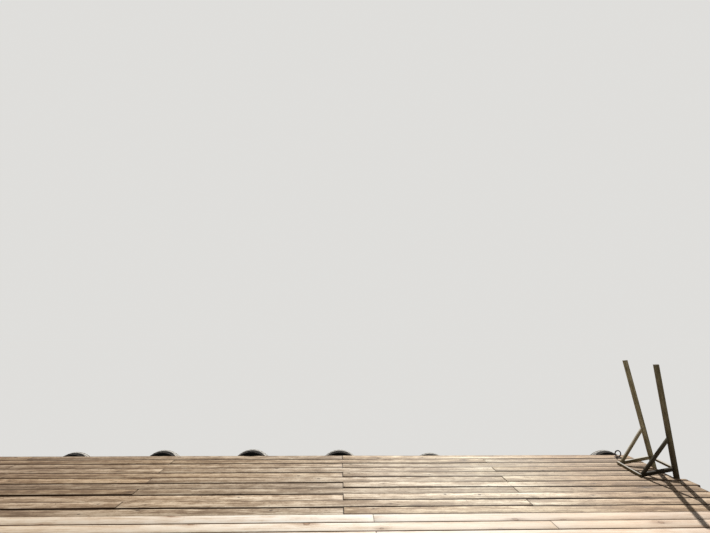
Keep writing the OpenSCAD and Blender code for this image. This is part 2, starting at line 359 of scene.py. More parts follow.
class Paint(Wiring):
    """One procedural material and its node tree."""

    def __init__(self, name: str) -> None:
        """Starts a material with a Principled shader.

        Args:
            name: Name of the material.
        """
        self.material = bpy.data.materials.new(name)
        self.material.use_nodes = True
        super().__init__(self.material.node_tree)
        self.shader = self.tree.nodes["Principled BSDF"]

    def attribute(self, name: str, out: str = "Fac") -> Signal:
        """Reads an attribute of the piece."""
        return self.node("ShaderNodeAttribute", {"attribute_name": name}, {}, out)

    def place(self) -> Signal:
        """Reads the Object coordinates."""
        return self.node("ShaderNodeTexCoord", {}, {}, "Object")

    def normal(self, letter: str) -> Signal:
        """Reads one component of the surface's normal."""
        return self.axis(self.node("ShaderNodeNewGeometry", {}, {}, "Normal"), letter)

    def axis(self, vector: Signal, letter: str) -> Signal:
        """Takes one component of a vector."""
        return self.node("ShaderNodeSeparateXYZ", {}, {0: vector}, letter)

    def stretch(self, vector: Signal, scale: Cells) -> Signal:
        """Scales a vector along each axis."""
        return self.node("ShaderNodeMapping", {}, {"Vector": vector, "Scale": scale})

    def vector(self, operation: str, values: dict[int | str, object], out: str = "Vector") -> Signal:
        """Adds one Vector Math node."""
        return self.node("ShaderNodeVectorMath", {"operation": operation}, values, out)

    def length(self, vector: Signal) -> Signal:
        """Takes the length of a vector."""
        return self.vector("LENGTH", {0: vector}, "Value")

    def grey(self, level: Signal) -> Signal:
        """Turns a value into a grey colour."""
        return self.node("ShaderNodeCombineXYZ", {}, {0: level, 1: level, 2: level})

    def cloud(self, vector: Signal, cells: Cells, detail: float = 3.0, rough: float = 0.55) -> Signal:
        """Reads noise around 0.5, with its cells per metre along each axis and its octaves."""
        values = {"Vector": self.stretch(vector, cells), "Scale": 1.0, "Detail": detail}
        return self.node("ShaderNodeTexNoise", {}, {**values, "Roughness": rough})

    def ramp(self, factor: Signal, stops: Sequence[tuple[float, Colour]]) -> Signal:
        """Maps a value to colours."""
        return self.node("ShaderNodeValToRGB", {"stops": stops}, {0: factor})

    def mix(
        self, factor: Signal | float, one: Signal | Colour, two: Signal | Colour, how: str = "MIX"
    ) -> Signal:
        """Mixes two colours.

        Args:
            factor: Share of the second colour.
            one: First colour.
            two: Second colour.
            how: Blend type.

        Returns:
            The mixed colour.
        """
        settings = {"data_type": "RGBA", "blend_type": how}
        pair = [c if isinstance(c, Signal) else (*c, 1.0) for c in (one, two)]
        return self.node("ShaderNodeMix", settings, {0: factor, 6: pair[0], 7: pair[1]}, 2)

    def feed(self, **values: object) -> None:
        """Feeds inputs of the Principled shader.

        Args:
            **values: Value or signal of each input, named in small letters with underscores.
        """
        named = {socket.name.lower().replace(" ", "_"): socket for socket in self.shader.inputs}
        for name, value in values.items():
            self.plug(named[name], value)

    def bump(self, height: Signal, strength: float, depth: float) -> None:
        """Feeds a height to the shader's normal, where a height of 1 is a depth in metres."""
        values = {"Strength": strength, "Distance": depth, "Height": height}
        self.feed(normal=self.node("ShaderNodeBump", {}, values))


# Finishes


@dataclass(frozen=True)
class Figure:
    """Patterns of a timber's surface, and its grain coordinates parted around the knots."""

    knot: Signal
    rim: Signal
    halo: Signal
    flow: Signal
    rings: Signal
    fibre: Signal
    streak: Signal
    band: Signal
    blotch: Signal
    fleck: Signal


@dataclass(frozen=True)
class TimberFinish:
    """Timber that has stood outdoors.

    Cells are per metre along, across and through a stick, but the ripples' are along X, Y and Z.
    """

    name: str
    dark: Colour
    body: Colour
    light: Colour
    tone_spread: float = 0.30
    contrast: float = 1.0
    patchy: float = 0.6
    ring_depth: float = 0.30
    ring_waves: float = 1150.0
    pith_depth: float = 0.055
    flecks: float = 1.0
    streaks: Cells = (3.0, 58.0, 58.0)
    fibres: Cells = (9.0, 300.0, 300.0)
    bands: Cells = (0.9, 13.0, 13.0)
    blotches: Cells = (6.5, 13.0, 13.0)
    specks: Cells = (34.0, 110.0, 110.0)
    bends: Cells = (0.55, 2.5, 2.5)
    cracks: Cells = (3.5, 95.0, 95.0)
    knot_edges: Cells = (45.0, 45.0, 45.0)
    board_knots: Cells = (1.9, 6.5, 0.0)
    log_knots: Cells = (2.4, 9.0, 9.0)
    ripples: Cells = (6.0, 6.0, 2.0)
    flat: bool = True
    knot_share: float = 0.35
    knot_r: float = 0.010
    knot: Colour = (0.10, 0.06, 0.035)
    halo: float = 0.4
    # The dirt colour also carries the painted shade that edge lays along the very sides.
    dirt_and_edge_shade: Colour = (0.10, 0.08, 0.06)
    dirt_width: float = 0.010
    grime: float = 1.0
    # Painted shade: edge darkens the last few millimetres of each side, where the gaps and arrises lie.
    edge: float = 1.0
    edge_width: Span = (0.0060, 0.0025)
    sawn_end: Span = (0.0045, 0.0015)
    checks: float = 0.6
    # Ramp along X of painted light: a painted glare from the middle to the right, and painted shade toward
    # both ends.
    painted_light: tuple[tuple[float, Colour], ...] = ()
    painted_light_from: float = -6.0
    painted_light_over: float = 12.0
    dark_foot: float = 0.0
    # Paler upward faces: partly weathering, partly painted light on the lit tops.
    top_bleach_and_light: float = 0.0
    top_bleach_and_light_colour: Colour = (0.62, 0.55, 0.45)
    warm: Colour = (1.04, 0.985, 0.90)
    wet_line: float = 0.0
    damp: Colour = (0.075, 0.060, 0.045)
    film: Colour = (0.050, 0.066, 0.030)
    tide: Colour = (0.36, 0.33, 0.27)
    roughness: float = 0.78
    sheen: float = 0.15
    relief: float = 0.0022

    def material(self) -> bpy.types.Material:
        """Builds the material from the pieces' own grain coordinates.

        Returns:
            The finished material.
        """
        paint = Paint(self.name)
        tone = paint.attribute("tone")
        end = paint.attribute("from_end")
        figure = self._figure(paint)
        checks = self._checks(paint, figure, end)
        colour = self._wood(paint, figure, tone, end)
        colour = self._knotted(paint, figure, colour)
        colour = self._soiled_and_edge_shaded(paint, figure, paint.mix(checks.clamp() * 0.8, colour, self.dirt_and_edge_shade), end)
        if self.wet_line:
            colour = self._water_marks(paint, colour)
        rough = figure.streak * 0.25 + figure.blotch * 0.25 + self.roughness
        height = figure.fibre * 0.35 + figure.rings * 0.5 * self.ring_depth + figure.streak * 0.5
        paint.feed(base_color=colour, roughness=rough.clamp(), specular_ior_level=self.sheen)
        paint.bump(height - checks * 0.9 - figure.rim * 0.3, 0.6, self.relief)
        return paint.material

    def _figure(self, paint: Paint) -> Figure:
        """Draws the growth rings, fibres, streaks and blotches.

        Args:
            paint: Paint that is being mixed.

        Returns:
            The patterns.
        """
        grain = paint.attribute("grain", "Vector")
        knot, rim, halo, flow = self._knots(paint, grain)
        bend = paint.cloud(flow, self.bends, 2.0)
        across = paint.axis(flow, "Y") + (bend - 0.5) * (2 * self.pith_depth)
        depth = paint.axis(flow, "Z") + self.pith_depth
        radius = (across * across + depth * depth) ** 0.5
        return Figure(
            knot, rim, halo, flow,
            rings=(radius * self.ring_waves + bend * 14.0).sine() * 0.5,
            fibre=paint.cloud(flow, self.fibres, 3.0, 0.6) - 0.5,
            streak=paint.cloud(flow, self.streaks, 4.0, 0.65) - 0.5,
            band=paint.cloud(flow, self.bands, 2.0) - 0.5,
            blotch=paint.cloud(grain, self.blotches, 4.0, 0.65) - 0.5,
            fleck=paint.cloud(flow, self.specks, 2.0).fade(0.55, 0.68) * self.flecks,
        )

    def _wood(self, paint: Paint, figure: Figure, tone: Signal, end: Signal) -> Signal:
        """Colours the bare wood, with painted light: glare and shade along X where the finish has it, shade
        on faces that look down, and paler lit tops where the finish has them.

        Args:
            paint: Paint that is being mixed.
            figure: The wood's patterns.
            tone: How pale each stick is, from 0 to 1.
            end: Distance to the nearer end.

        Returns:
            The wood's colour.
        """
        up = paint.normal("Z")
        sawn = end.fade(*self.sawn_end)
        shade = figure.streak * 1.1 + figure.band * 0.7 + figure.blotch * self.patchy
        shade = (shade + figure.fibre * 0.45 - figure.fleck * 0.25) * self.contrast
        shade = shade + figure.rings * (sawn * 0.25 + 0.14 * self.ring_depth) + 0.5
        colour = paint.ramp(shade, [(0.30, self.dark), (0.50, self.body), (0.72, self.light)])
        level = tone * self.tone_spread + (1.0 - self.tone_spread / 2)
        if self.dark_foot:
            low = paint.axis(paint.place(), "Z").fade(2.5, 1.4) * (1.0 - tone) * self.dark_foot
            level = level * (1.0 - low.clamp() * 0.72)
        # Painted light: the glare and shade ramp along X is multiplied into the colour.
        if self.painted_light:
            along = (paint.axis(paint.place(), "X") - self.painted_light_from) / self.painted_light_over
            colour = paint.mix(1.0, colour, paint.ramp(along, self.painted_light), "MULTIPLY")
            level = level * 1.8
        # Sawn ends come out darker, and faces that look down get painted shade.
        level = level * (1.0 - sawn * 0.45) * (1.0 - up.fade(0.1, -0.7) * 0.25)
        colour = paint.mix(1.0, colour, paint.grey(level), "MULTIPLY")
        hue = (tone * 43.0).sine() * 0.5 + 0.5
        colour = paint.mix(hue * 0.8, colour, self.warm, "MULTIPLY")
        if not self.top_bleach_and_light:
            return colour
        # Upward faces turn pale: partly weathering, partly painted light on the lit tops; low-toned sticks
        # get less of it when the foot is darkened.
        pale_lit_top = up.fade(0.35, 0.90) * (figure.streak.fade(-0.25, 0.15) * 0.35 + 0.65) * self.top_bleach_and_light
        if self.dark_foot:
            pale_lit_top = pale_lit_top * tone.fade(0.30, 0.70)
        return paint.mix(pale_lit_top, colour, self.top_bleach_and_light_colour)

    def _knotted(self, paint: Paint, figure: Figure, colour: Signal) -> Signal:
        """Colours the knots, their rims and the wood around them.

        Args:
            paint: Paint that is being mixed.
            figure: The wood's patterns.
            colour: Colour of the clear wood.

        Returns:
            Colour with the knots.
        """
        colour = paint.mix(figure.halo * self.halo, colour, self.knot)
        colour = paint.mix(figure.knot * 0.75, colour, self.knot)
        return paint.mix(figure.rim * 0.60, colour, tuple(0.42 * c for c in self.knot))

    def _checks(self, paint: Paint, figure: Figure, end: Signal) -> Signal:
        """Opens drying checks, more of them near the ends.

        Args:
            paint: Paint that is being mixed.
            figure: The wood's patterns.
            end: Distance to the nearer end.

        Returns:
            Mask of the checks.
        """
        checks = paint.cloud(figure.flow, self.cracks, 2.0).fade(0.33, 0.26)
        near = end.fade(0.45, 0.02) * 0.8 + figure.blotch.fade(0.02, 0.16) * 0.5
        return checks * near * self.checks

    def _soiled_and_edge_shaded(self, paint: Paint, figure: Figure, colour: Signal, end: Signal) -> Signal:
        """Gathers dirt along the sides and at the ends, and paints shade along the very edges.

        Args:
            paint: Paint that is being mixed.
            figure: The wood's patterns.
            colour: Colour of the clean wood.
            end: Distance to the nearer end.

        Returns:
            Colour with the dirt and the painted edge shade.
        """
        side = paint.attribute("from_side")
        grime = side.fade(self.dirt_width, 0.001) * (0.55 - figure.blotch)
        grime = grime + side.fade(0.035, 0.0) * (0.10 - figure.blotch) * 0.8
        grime = (grime + end.fade(0.012, 0.0) * (0.35 - figure.blotch)) * self.grime
        # Painted shade: a dark strip on the last few millimetres of each side, at the gaps and arrises.
        grime = grime + side.fade(*self.edge_width) * self.edge
        return paint.mix(grime.clamp() * 0.97, colour, self.dirt_and_edge_shade)

    def _knots(self, paint: Paint, grain: Signal) -> tuple[Signal, Signal, Signal, Signal]:
        """Scatters knots, and parts the grain around them.

        Args:
            paint: Paint that is being mixed.
            grain: Grain coordinates.

        Returns:
            Masks of the knots, of their rims and of the wood around them, and the parted grain
            coordinates.
        """
        cells = self.board_knots if self.flat else self.log_knots
        kind = {"voronoi_dimensions": "2D" if self.flat else "3D"}
        here = paint.stretch(grain, cells)
        spot = paint.node("ShaderNodeTexVoronoi", kind, {"Vector": here, "Scale": 1.0}, "Position")
        lot = spot.also("Color")
        away = paint.vector("SUBTRACT", {0: spot, 1: here})
        away = paint.stretch(away, tuple(1.0 / c if c else 0.0 for c in cells))
        reach = paint.length(paint.stretch(away, (0.8, 1.0, 1.0)))
        rare = paint.axis(lot, "X").over(1.0 - self.knot_share)
        size = (paint.axis(lot, "Y") + 0.8) * self.knot_r
        inside = reach * (paint.cloud(grain, self.knot_edges, 2.0) + 0.5) / size
        knot = inside.fade(1.10, 0.80) * rare
        rim = inside.fade(0.62, 0.90) * inside.fade(1.45, 1.05) * rare
        drawn = paint.length(paint.stretch(away, (0.28, 1.0, 1.0))) / size
        swirl = reach.fade(0.080, 0.010) * rare * 0.8
        parted = paint.vector("ADD", {0: grain, 1: paint.vector("SCALE", {0: away, "Scale": swirl})})
        return knot, rim, drawn.fade(2.6, 0.4) * rare, parted

    def _water_marks(self, paint: Paint, colour: Signal) -> Signal:
        """Darkens the lower part of a pile, with a tide line and a green film.

        Args:
            paint: Paint that is being mixed.
            colour: Colour of the dry wood.

        Returns:
            Colour with the marks.
        """
        place = paint.place()
        wave = paint.cloud(place, self.ripples, 3.0)
        height = paint.axis(place, "Z") + (wave - 0.5) * 0.16
        damp = height.fade(self.wet_line + 0.22, self.wet_line - 0.06)
        film = height.fade(self.wet_line - 0.02, self.wet_line - 0.30)
        line = height.fade(self.wet_line - 0.03, self.wet_line)
        line = line * height.fade(self.wet_line + 0.05, self.wet_line + 0.01)
        colour = paint.mix(damp * 0.70, colour, self.damp)
        colour = paint.mix(film * (wave.fade(0.30, 0.62) * 0.6 + 0.25), colour, self.film)
        return paint.mix(line * 0.5, colour, self.tide)


@dataclass(frozen=True)
class RubberFinish:
    """Old tyre rubber, black by the deck, with a painted pale highlight on its upper outer shoulder."""

    name: str = "Worn tyre rubber"
    black: Colour = (0.006, 0.006, 0.006)
    faded: Colour = (0.036, 0.035, 0.033)
    # Pale colour of the painted highlight on the upper outer shoulder, also used faintly for grit there.
    pale_highlight_and_grit: Colour = (0.76, 0.73, 0.68)
    stain: Colour = (0.11, 0.12, 0.07)
    shoulder: Span = (0.276, 0.287)
    stained: Span = (1.10, 0.95)
    patches: Cells = (7.0, 7.0, 7.0)
    grit: Cells = (160.0, 160.0, 160.0)
    runs: Cells = (38.0, 38.0, 5.0)
    mould_lines: float = 1400.0
    sheen: float = 0.06
    relief: float = 0.0012

    def material(self) -> bpy.types.Material:
        """Builds the rubber from Object coordinates and the tyre's own attributes.

        Returns:
            The finished material.
        """
        paint = Paint(self.name)
        place = paint.place()
        up = paint.normal("Z")
        tread, ring, outward = (paint.attribute(name) for name in ("tread", "ring", "outward"))
        patches = paint.cloud(place, self.patches, 5.0, 0.6)
        grit = paint.cloud(place, self.grit, 3.0, 0.65)
        run = paint.cloud(place, self.runs, 3.0)
        colour = paint.mix(patches.fade(0.35, 0.70) * outward.fade(0.45, 0.75), self.black, self.faded)
        shoulder = ring.fade(*self.shoulder)
        # Painted highlight: the upward-facing outer shoulder is coloured pale.
        pale_lit_top = (outward - up.fade(0.68, 1.0) * 0.45).fade(0.02, 0.18) * shoulder * up.fade(0.35, 0.78)
        colour = paint.mix((pale_lit_top * (0.70 + patches * 0.45)).clamp(), colour, self.pale_highlight_and_grit)
        grey = shoulder * outward.fade(0.15, 0.40) * grit.fade(0.35, 0.75)
        colour = paint.mix(grey * 0.10, colour, self.pale_highlight_and_grit)
        height = paint.axis(place, "Z") + (run - 0.5) * 0.25
        colour = paint.mix(height.fade(*self.stained) * run.fade(0.40, 0.65) * 0.6, colour, self.stain)
        rough = patches * 0.2 + grit * 0.1 + 0.55
        paint.feed(base_color=colour, roughness=rough.clamp(), specular_ior_level=self.sheen)
        lines = (ring * self.mould_lines).sine() * 0.5 + 0.5
        paint.bump(grit * 0.5 + lines * 0.25 * (1.0 - tread), 0.35, self.relief)
        return paint.material


@dataclass(frozen=True)
class SteelFinish:
    """Steel that has rusted to a dark brown, or zinc that has gone dull."""

    name: str
    scale: Colour = (0.016, 0.012, 0.010)
    rust: Colour = (0.060, 0.028, 0.016)
    bare: Colour = (0.050, 0.045, 0.041)
    metallic: float = 0.35
    blooms: Cells = (60.0, 60.0, 60.0)
    pits: Cells = (420.0, 420.0, 420.0)
    relief: float = 0.0008

    def material(self) -> bpy.types.Material:
        """Builds the metal from Object coordinates.

        Returns:
            The finished material.
        """
        paint = Paint(self.name)
        place = paint.place()
        bloom = paint.cloud(place, self.blooms, 5.0, 0.62)
        pits = paint.cloud(place, self.pits, 3.0, 0.7)
        colour = paint.ramp(bloom, [(0.36, self.scale), (0.52, self.rust), (0.66, self.bare)])
        paint.feed(
            base_color=paint.mix(pits.fade(0.62, 0.72) * 0.6, colour, self.scale),
            metallic=bloom.fade(0.55, 0.70) * self.metallic,
            roughness=(0.85 - bloom.fade(0.50, 0.72) * 0.35).clamp(),
        )
        paint.bump(pits * 0.6 + bloom * 0.4, 0.5, self.relief)
        return paint.material


@dataclass(frozen=True)
class StageFinish:
    """Plain pale surface around the object, which shows at its own colour behind it."""

    name: str
    colour: Colour

    def material(self) -> bpy.types.Material:
        """Builds a matt surface.

        Returns:
            The finished material.
        """
        paint = Paint(self.name)
        paint.feed(base_color=(*self.colour, 1.0), roughness=1.0, specular_ior_level=0.0)
        return paint.material


class Finish(Enum):
    """Finishes of the jetty's pieces."""

    OLD_BOARD = TimberFinish(
        "Weathered board", (0.245, 0.162, 0.098), (0.500, 0.370, 0.248), (0.78, 0.640, 0.480),
        contrast=1.3, tone_spread=0.40, knot_share=0.45, knot_r=0.007, roughness=0.64,
        dirt_and_edge_shade=(0.060, 0.030, 0.012), dirt_width=0.013, streaks=(2.2, 72.0, 72.0), patchy=0.62, flecks=0.6,
        # Painted glare from the middle to the right, and painted shade toward both ends.
        painted_light=(
            (0.37, (0.36, 0.34, 0.33)), (0.52, (0.52, 0.51, 0.50)), (0.70, (0.74, 0.79, 0.85)),
            (0.81, (0.83, 0.93, 1.00)), (0.89, (0.56, 0.53, 0.50)), (0.95, (0.47, 0.44, 0.41)),
        ),
    )
    NEW_BOARD = TimberFinish(
        "Newer pale board", (0.62, 0.465, 0.325), (0.85, 0.715, 0.575), (0.90, 0.83, 0.72),
        tone_spread=0.12, contrast=0.7, knot=(0.36, 0.205, 0.115), dirt_and_edge_shade=(0.19, 0.115, 0.062), checks=0.3,
        knot_share=0.42, knot_r=0.013, halo=0.6, flecks=0.4, roughness=0.56, dirt_width=0.008, grime=0.6,
        edge=0.6, streaks=(1.7, 58.0, 58.0),
        # Painted glare from the middle to the right, and painted shade toward both ends.
        painted_light=(
            (0.45, (0.51, 0.51, 0.51)), (0.65, (0.72, 0.78, 0.87)), (0.81, (0.57, 0.56, 0.56)),
            (0.86, (0.63, 0.59, 0.56)), (0.90, (0.53, 0.50, 0.49)),
        ),
    )
    FRAME = TimberFinish(
        "Framing timber", (0.085, 0.060, 0.042), (0.205, 0.150, 0.105), (0.34, 0.27, 0.20),
        # Paler upward faces: weathering and painted light on the lit tops.
        contrast=0.65, flecks=0.4, patchy=0.8, top_bleach_and_light=0.35, top_bleach_and_light_colour=(0.40, 0.34, 0.27),
    )
    PILE = TimberFinish(
        "Round pile", (0.070, 0.050, 0.036), (0.165, 0.122, 0.086), (0.30, 0.235, 0.17),
        contrast=0.65, flecks=0.3, tone_spread=0.2, wet_line=0.42, checks=0.7, knot_share=0.20,
        ring_depth=0.0, flat=False,
    )
    LADDER = TimberFinish(
        "Ladder timber", (0.145, 0.115, 0.056), (0.295, 0.245, 0.135), (0.45, 0.385, 0.245),
        # Pale upward faces: weathering and painted light on the lit tops.
        tone_spread=1.30, dark_foot=1.5, top_bleach_and_light=1.0, top_bleach_and_light_colour=(0.93, 0.88, 0.79), knot_share=0.12,
        dirt_and_edge_shade=(0.045, 0.034, 0.022), dirt_width=0.004, grime=0.3, edge=0.25, flecks=0.6,
    )
    RUBBER = RubberFinish()
    RUST = SteelFinish("Rusty steel")
    ZINC = SteelFinish("Dull zinc", (0.10, 0.095, 0.09), (0.24, 0.19, 0.15), (0.34, 0.34, 0.34), 0.8)
    FLOOR = StageFinish("Studio floor", (0.80, 0.81, 0.82))


class Stock:
    """Materials that have been made so far, each made once, for the pieces that are handed over."""

    def __init__(self) -> None:
        """Starts empty."""
        self.made: dict[Finish, bpy.types.Material] = {}

    def dress(self, piece: bpy.types.Object, finish: Finish) -> None:
        """Gives a piece its finish.

        Args:
            piece: Piece to dress.
            finish: Finish for all its faces.
        """
        if finish not in self.made:
            self.made[finish] = finish.value.material()
        piece.data.materials.clear()
        piece.data.materials.append(self.made[finish])

    def hand_over(self, piece: bpy.types.Object, finish: Finish, slot: str, *nodes: str) -> None:
        """Args:
            piece: The finished piece.
            finish: Finish for all its faces.
            slot: Not used.
            *nodes: Nodes that it stands for.
        """
        self.dress(piece, finish)
        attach(piece, "root")
        if nodes:
            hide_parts(*nodes)
        stands_for = ", ".join(nodes) or "no node"
        LOG.info("%s: %d faces, stands for %s", piece.name, len(piece.data.polygons), stands_for)


# Bench work


def node_box(node: str) -> tuple[Vector, Vector]:
    """Gives the lowest and the highest corner of a node's box."""
    low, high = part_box(node)
    return Vector(low), Vector(high)


def add(name: str, data: bpy.types.ID | None) -> bpy.types.Object:
    """Adds an object to the scene.

    Args:
        name: Its name.
        data: Its mesh, lamp or camera.

    Returns:
        The object.
    """
    thing = bpy.data.objects.new(name, data)
    bpy.context.scene.collection.objects.link(thing)
    return thing


class Bench:
    """One mesh being made with the modelling operators, in edit mode until it is taken off."""

    def __init__(self, name: str) -> None:
        """Opens an empty mesh in edit mode.

        Args:
            name: Name of the piece.
        """
        self.piece = add(name, bpy.data.meshes.new(name))
        pick(self.piece)
        bpy.ops.object.mode_set(mode="EDIT")

    def count(self) -> int:
        """Counts the corners made so far."""
        return len(bmesh.from_edit_mesh(self.piece.data).verts)

    def block(self, low: Sequence[float], high: Sequence[float], cuts: Sequence[int] = (0, 0, 0)) -> int:
        """Adds a block at its size and place, with cuts across its edges.

        Args:
            low: Lowest corner.
            high: Highest corner.
            cuts: Cuts along X, Y and Z.

        Returns:
            Index of its first corner.
        """
        first = self.count()
        bpy.ops.mesh.select_all(action="DESELECT")
        one, two = Vector(low), Vector(high)
        bpy.ops.mesh.primitive_cube_add(size=1.0, location=(one + two) / 2, scale=two - one)
        for axis, number in enumerate(cuts):
            if number:
                self.pick_edges(lambda a, b: abs((b - a).normalized()[axis]) > 0.9, first)
                bpy.ops.mesh.subdivide(number_cuts=number)
        return first

    def rod(
        self, foot: Sequence[float], height: float, radius: float, sides: int = 16, cuts: int = 0
    ) -> int:
        """Adds an upright cylinder on its foot.

        Args:
            foot: Middle of its lower end.
            height: Its height.
            radius: Its radius.
            sides: Number of sides.
            cuts: Cuts along its height.

        Returns:
            Index of its first corner.
        """
        first = self.count()
        bpy.ops.mesh.select_all(action="DESELECT")
        middle = Vector(foot) + Vector((0, 0, height / 2))
        bpy.ops.mesh.primitive_cylinder_add(vertices=sides, radius=radius, depth=height, location=middle)
        if cuts:
            self.pick_edges(lambda a, b: abs((b - a).normalized().z) > 0.9, first)
            bpy.ops.mesh.subdivide(number_cuts=cuts)
        return first

    def pick_edges(self, test: Callable[[Vector, Vector], bool], first: int = 0) -> None:
        """Selects edges by their ends.

        Args:
            test: Says whether an edge is wanted, from its two ends.
            first: Index of the first corner that counts.
        """
        mesh = self._deselected("EDGE")
        for edge in mesh.edges:
            one, two = edge.verts
            if one.index >= first and two.index >= first and test(one.co, two.co):
                edge.select_set(True)
        bmesh.update_edit_mesh(self.piece.data)

    def pick_faces(self, test: Callable[[Vector, Vector], bool], first: int = 0) -> None:
        """Selects faces by their middle and normal.

        Args:
            test: Says whether a face is wanted, from its middle and its normal.
            first: Index of the first corner that counts.
        """
        mesh = self._deselected("FACE")
        for face in mesh.faces:
            if all(v.index >= first for v in face.verts) and test(face.calc_center_median(), face.normal):
                face.select_set(True)
        bmesh.update_edit_mesh(self.piece.data)

    def _deselected(self, mode: str) -> bmesh.types.BMesh:
        """Deselects everything.

        Args:
            mode: What will be selected, edges or faces.

        Returns:
            The mesh, with its numbers and normals up to date.
        """
        bpy.ops.mesh.select_mode(type=mode)
        bpy.ops.mesh.select_all(action="DESELECT")
        mesh = bmesh.from_edit_mesh(self.piece.data)
        mesh.verts.index_update()
        mesh.normal_update()
        return mesh

    def take_off(self) -> bpy.types.Object:
        """Leaves edit mode.

        Returns:
            The piece.
        """
        bpy.ops.mesh.select_all(action="DESELECT")
        bpy.ops.object.mode_set(mode="OBJECT")
        return self.piece


def pick(piece: bpy.types.Object) -> None:
    """Selects one piece alone and makes it the active one.

    Args:
        piece: The piece.
    """
    bpy.ops.object.select_all(action="DESELECT")
    bpy.context.view_layer.objects.active = piece
    piece.select_set(True)


def modify(piece: bpy.types.Object, kind: str, **settings: object) -> None:
    """Adds one modifier and applies it.

    Args:
        piece: Piece to change.
        kind: Type of the modifier.
        **settings: Its settings.
    """
    pick(piece)
    bpy.ops.object.modifier_add(type=kind)
    modifier = piece.modifiers[-1]
    for key, value in settings.items():
        setattr(modifier, key, value)
    bpy.ops.object.modifier_apply(modifier=modifier.name)


def ease(piece: bpy.types.Object, width: float, segments: int = 2, angle: float = 40.0) -> None:
    """Rounds the arrises that are sharper than an angle in degrees."""
    limit = math.radians(angle)
    modify(piece, "BEVEL", width=width, segments=segments, limit_method="ANGLE", angle_limit=limit)


def cut_out(piece: bpy.types.Object, cutter: bpy.types.Object) -> None:
    """Cuts another piece's shape out of a piece, and removes the cutter."""
    modify(piece, "BOOLEAN", operation="DIFFERENCE", object=cutter, solver="EXACT")
    bpy.data.objects.remove(cutter)


def smooth(piece: bpy.types.Object, angle: float = 35.0) -> None:
    """Shades a piece smooth up to an angle in degrees."""
    pick(piece)
    bpy.ops.object.shade_smooth_by_angle(angle=math.radians(angle))


def settle(piece: bpy.types.Object, place: Matrix) -> None:
    """Puts a place into a piece's mesh, so that its object stays at the origin."""
    piece.data.transform(place)


def corners(piece: bpy.types.Object) -> list[Vector]:
    """Lists the places of a piece's corners."""
    return [corner.co.copy() for corner in piece.data.vertices]


def mark(piece: bpy.types.Object, name: str, values: Sequence[float]) -> None:
    """Writes a number on every corner of a piece."""
    piece.data.attributes.new(name, "FLOAT", "POINT").data.foreach_set("value", values)


def mark_grain(piece: bpy.types.Object, values: Sequence[Sequence[float]]) -> None:
    """Writes the grain coordinates on every corner of a piece."""
    layer = piece.data.attributes.new("grain", "FLOAT_VECTOR", "POINT")
    layer.data.foreach_set("vector", [part for value in values for part in value])


def stamp(master: bpy.types.Object, places: Iterable[Matrix], name: str) -> bpy.types.Object:
    """Copies a piece to many places in one mesh, and removes the first one.

    Args:
        master: Piece to copy.
        places: Place of each copy.
        name: Name of the new piece.

    Returns:
        The new piece.
    """
    gathered = bmesh.new()
    for place in places:
        start = len(gathered.verts)
        gathered.from_mesh(master.data)
        gathered.verts.ensure_lookup_table()
        bmesh.ops.transform(gathered, matrix=place, verts=gathered.verts[start:])
    mesh = bpy.data.meshes.new(name)
    gathered.to_mesh(mesh)
    gathered.free()
    bpy.data.objects.remove(master)
    return add(name, mesh)


def join(pieces: Sequence[bpy.types.Object], name: str) -> bpy.types.Object:
    """Joins pieces into one.

    Args:
        pieces: Pieces to join.
        name: Name of the whole.

    Returns:
        The joined piece.
    """
    bpy.ops.object.select_all(action="DESELECT")
    for piece in pieces:
        piece.select_set(True)
    bpy.context.view_layer.objects.active = pieces[0]
    bpy.ops.object.join()
    pieces[0].name = name
    return pieces[0]


# Timber in general


@dataclass(frozen=True)
class Stick:
    """One plank or bar as sawn: a box with its grain along one axis."""

    low: Vector
    high: Vector
    tone: float
    along: int = 0
    start_off: Vector = field(default_factory=Vector)
    end_off: Vector = field(default_factory=Vector)

    def holds(self, point: Vector, slack: float) -> bool:
        """Says whether a point lies in the box or just outside it."""
        return all(self.low[i] - slack <= point[i] <= self.high[i] + slack for i in range(3))

    def grain(self, point: Vector) -> tuple[float, float, float]:
        """Gives the grain coordinates of a point, which differ from stick to stick.

        Args:
            point: The point.

        Returns:
            Place along, across and through the stick.
        """
        local = point - (self.low + self.high) / 2
        along, across, through = {0: (0, 1, 2), 1: (1, 0, 2), 2: (2, 0, 1)}[self.along]
        turn = 37.0 * self.tone
        lean = 0.08 * math.sin(91.0 * self.tone)
        return local[along] + turn, local[across] + lean, local[through]

    def off(self, point: Vector) -> Vector:
        """Gives how far the stick lies out of its place at a point."""
        share = (point[self.along] - self.low[self.along]) / (self.high[self.along] - self.low[self.along])
        return self.start_off.lerp(self.end_off, min(max(share, 0.0), 1.0))

    def _to_face(self, point: Vector, axis: int) -> float:
        """Gives the distance from a point to the nearer face across an axis, or 0 outside."""
        return max(0.0, min(point[axis] - self.low[axis], self.high[axis] - point[axis]))

    def from_end(self, point: Vector) -> float:
        """Gives the distance from a point to the nearer end."""
        return self._to_face(point, self.along)

    def from_side(self, point: Vector) -> float:
        """Gives the distance from a point to the nearer side across the wide face."""
        others = [i for i in range(3) if i != self.along]
        return self._to_face(point, max(others, key=lambda i: self.high[i] - self.low[i]))


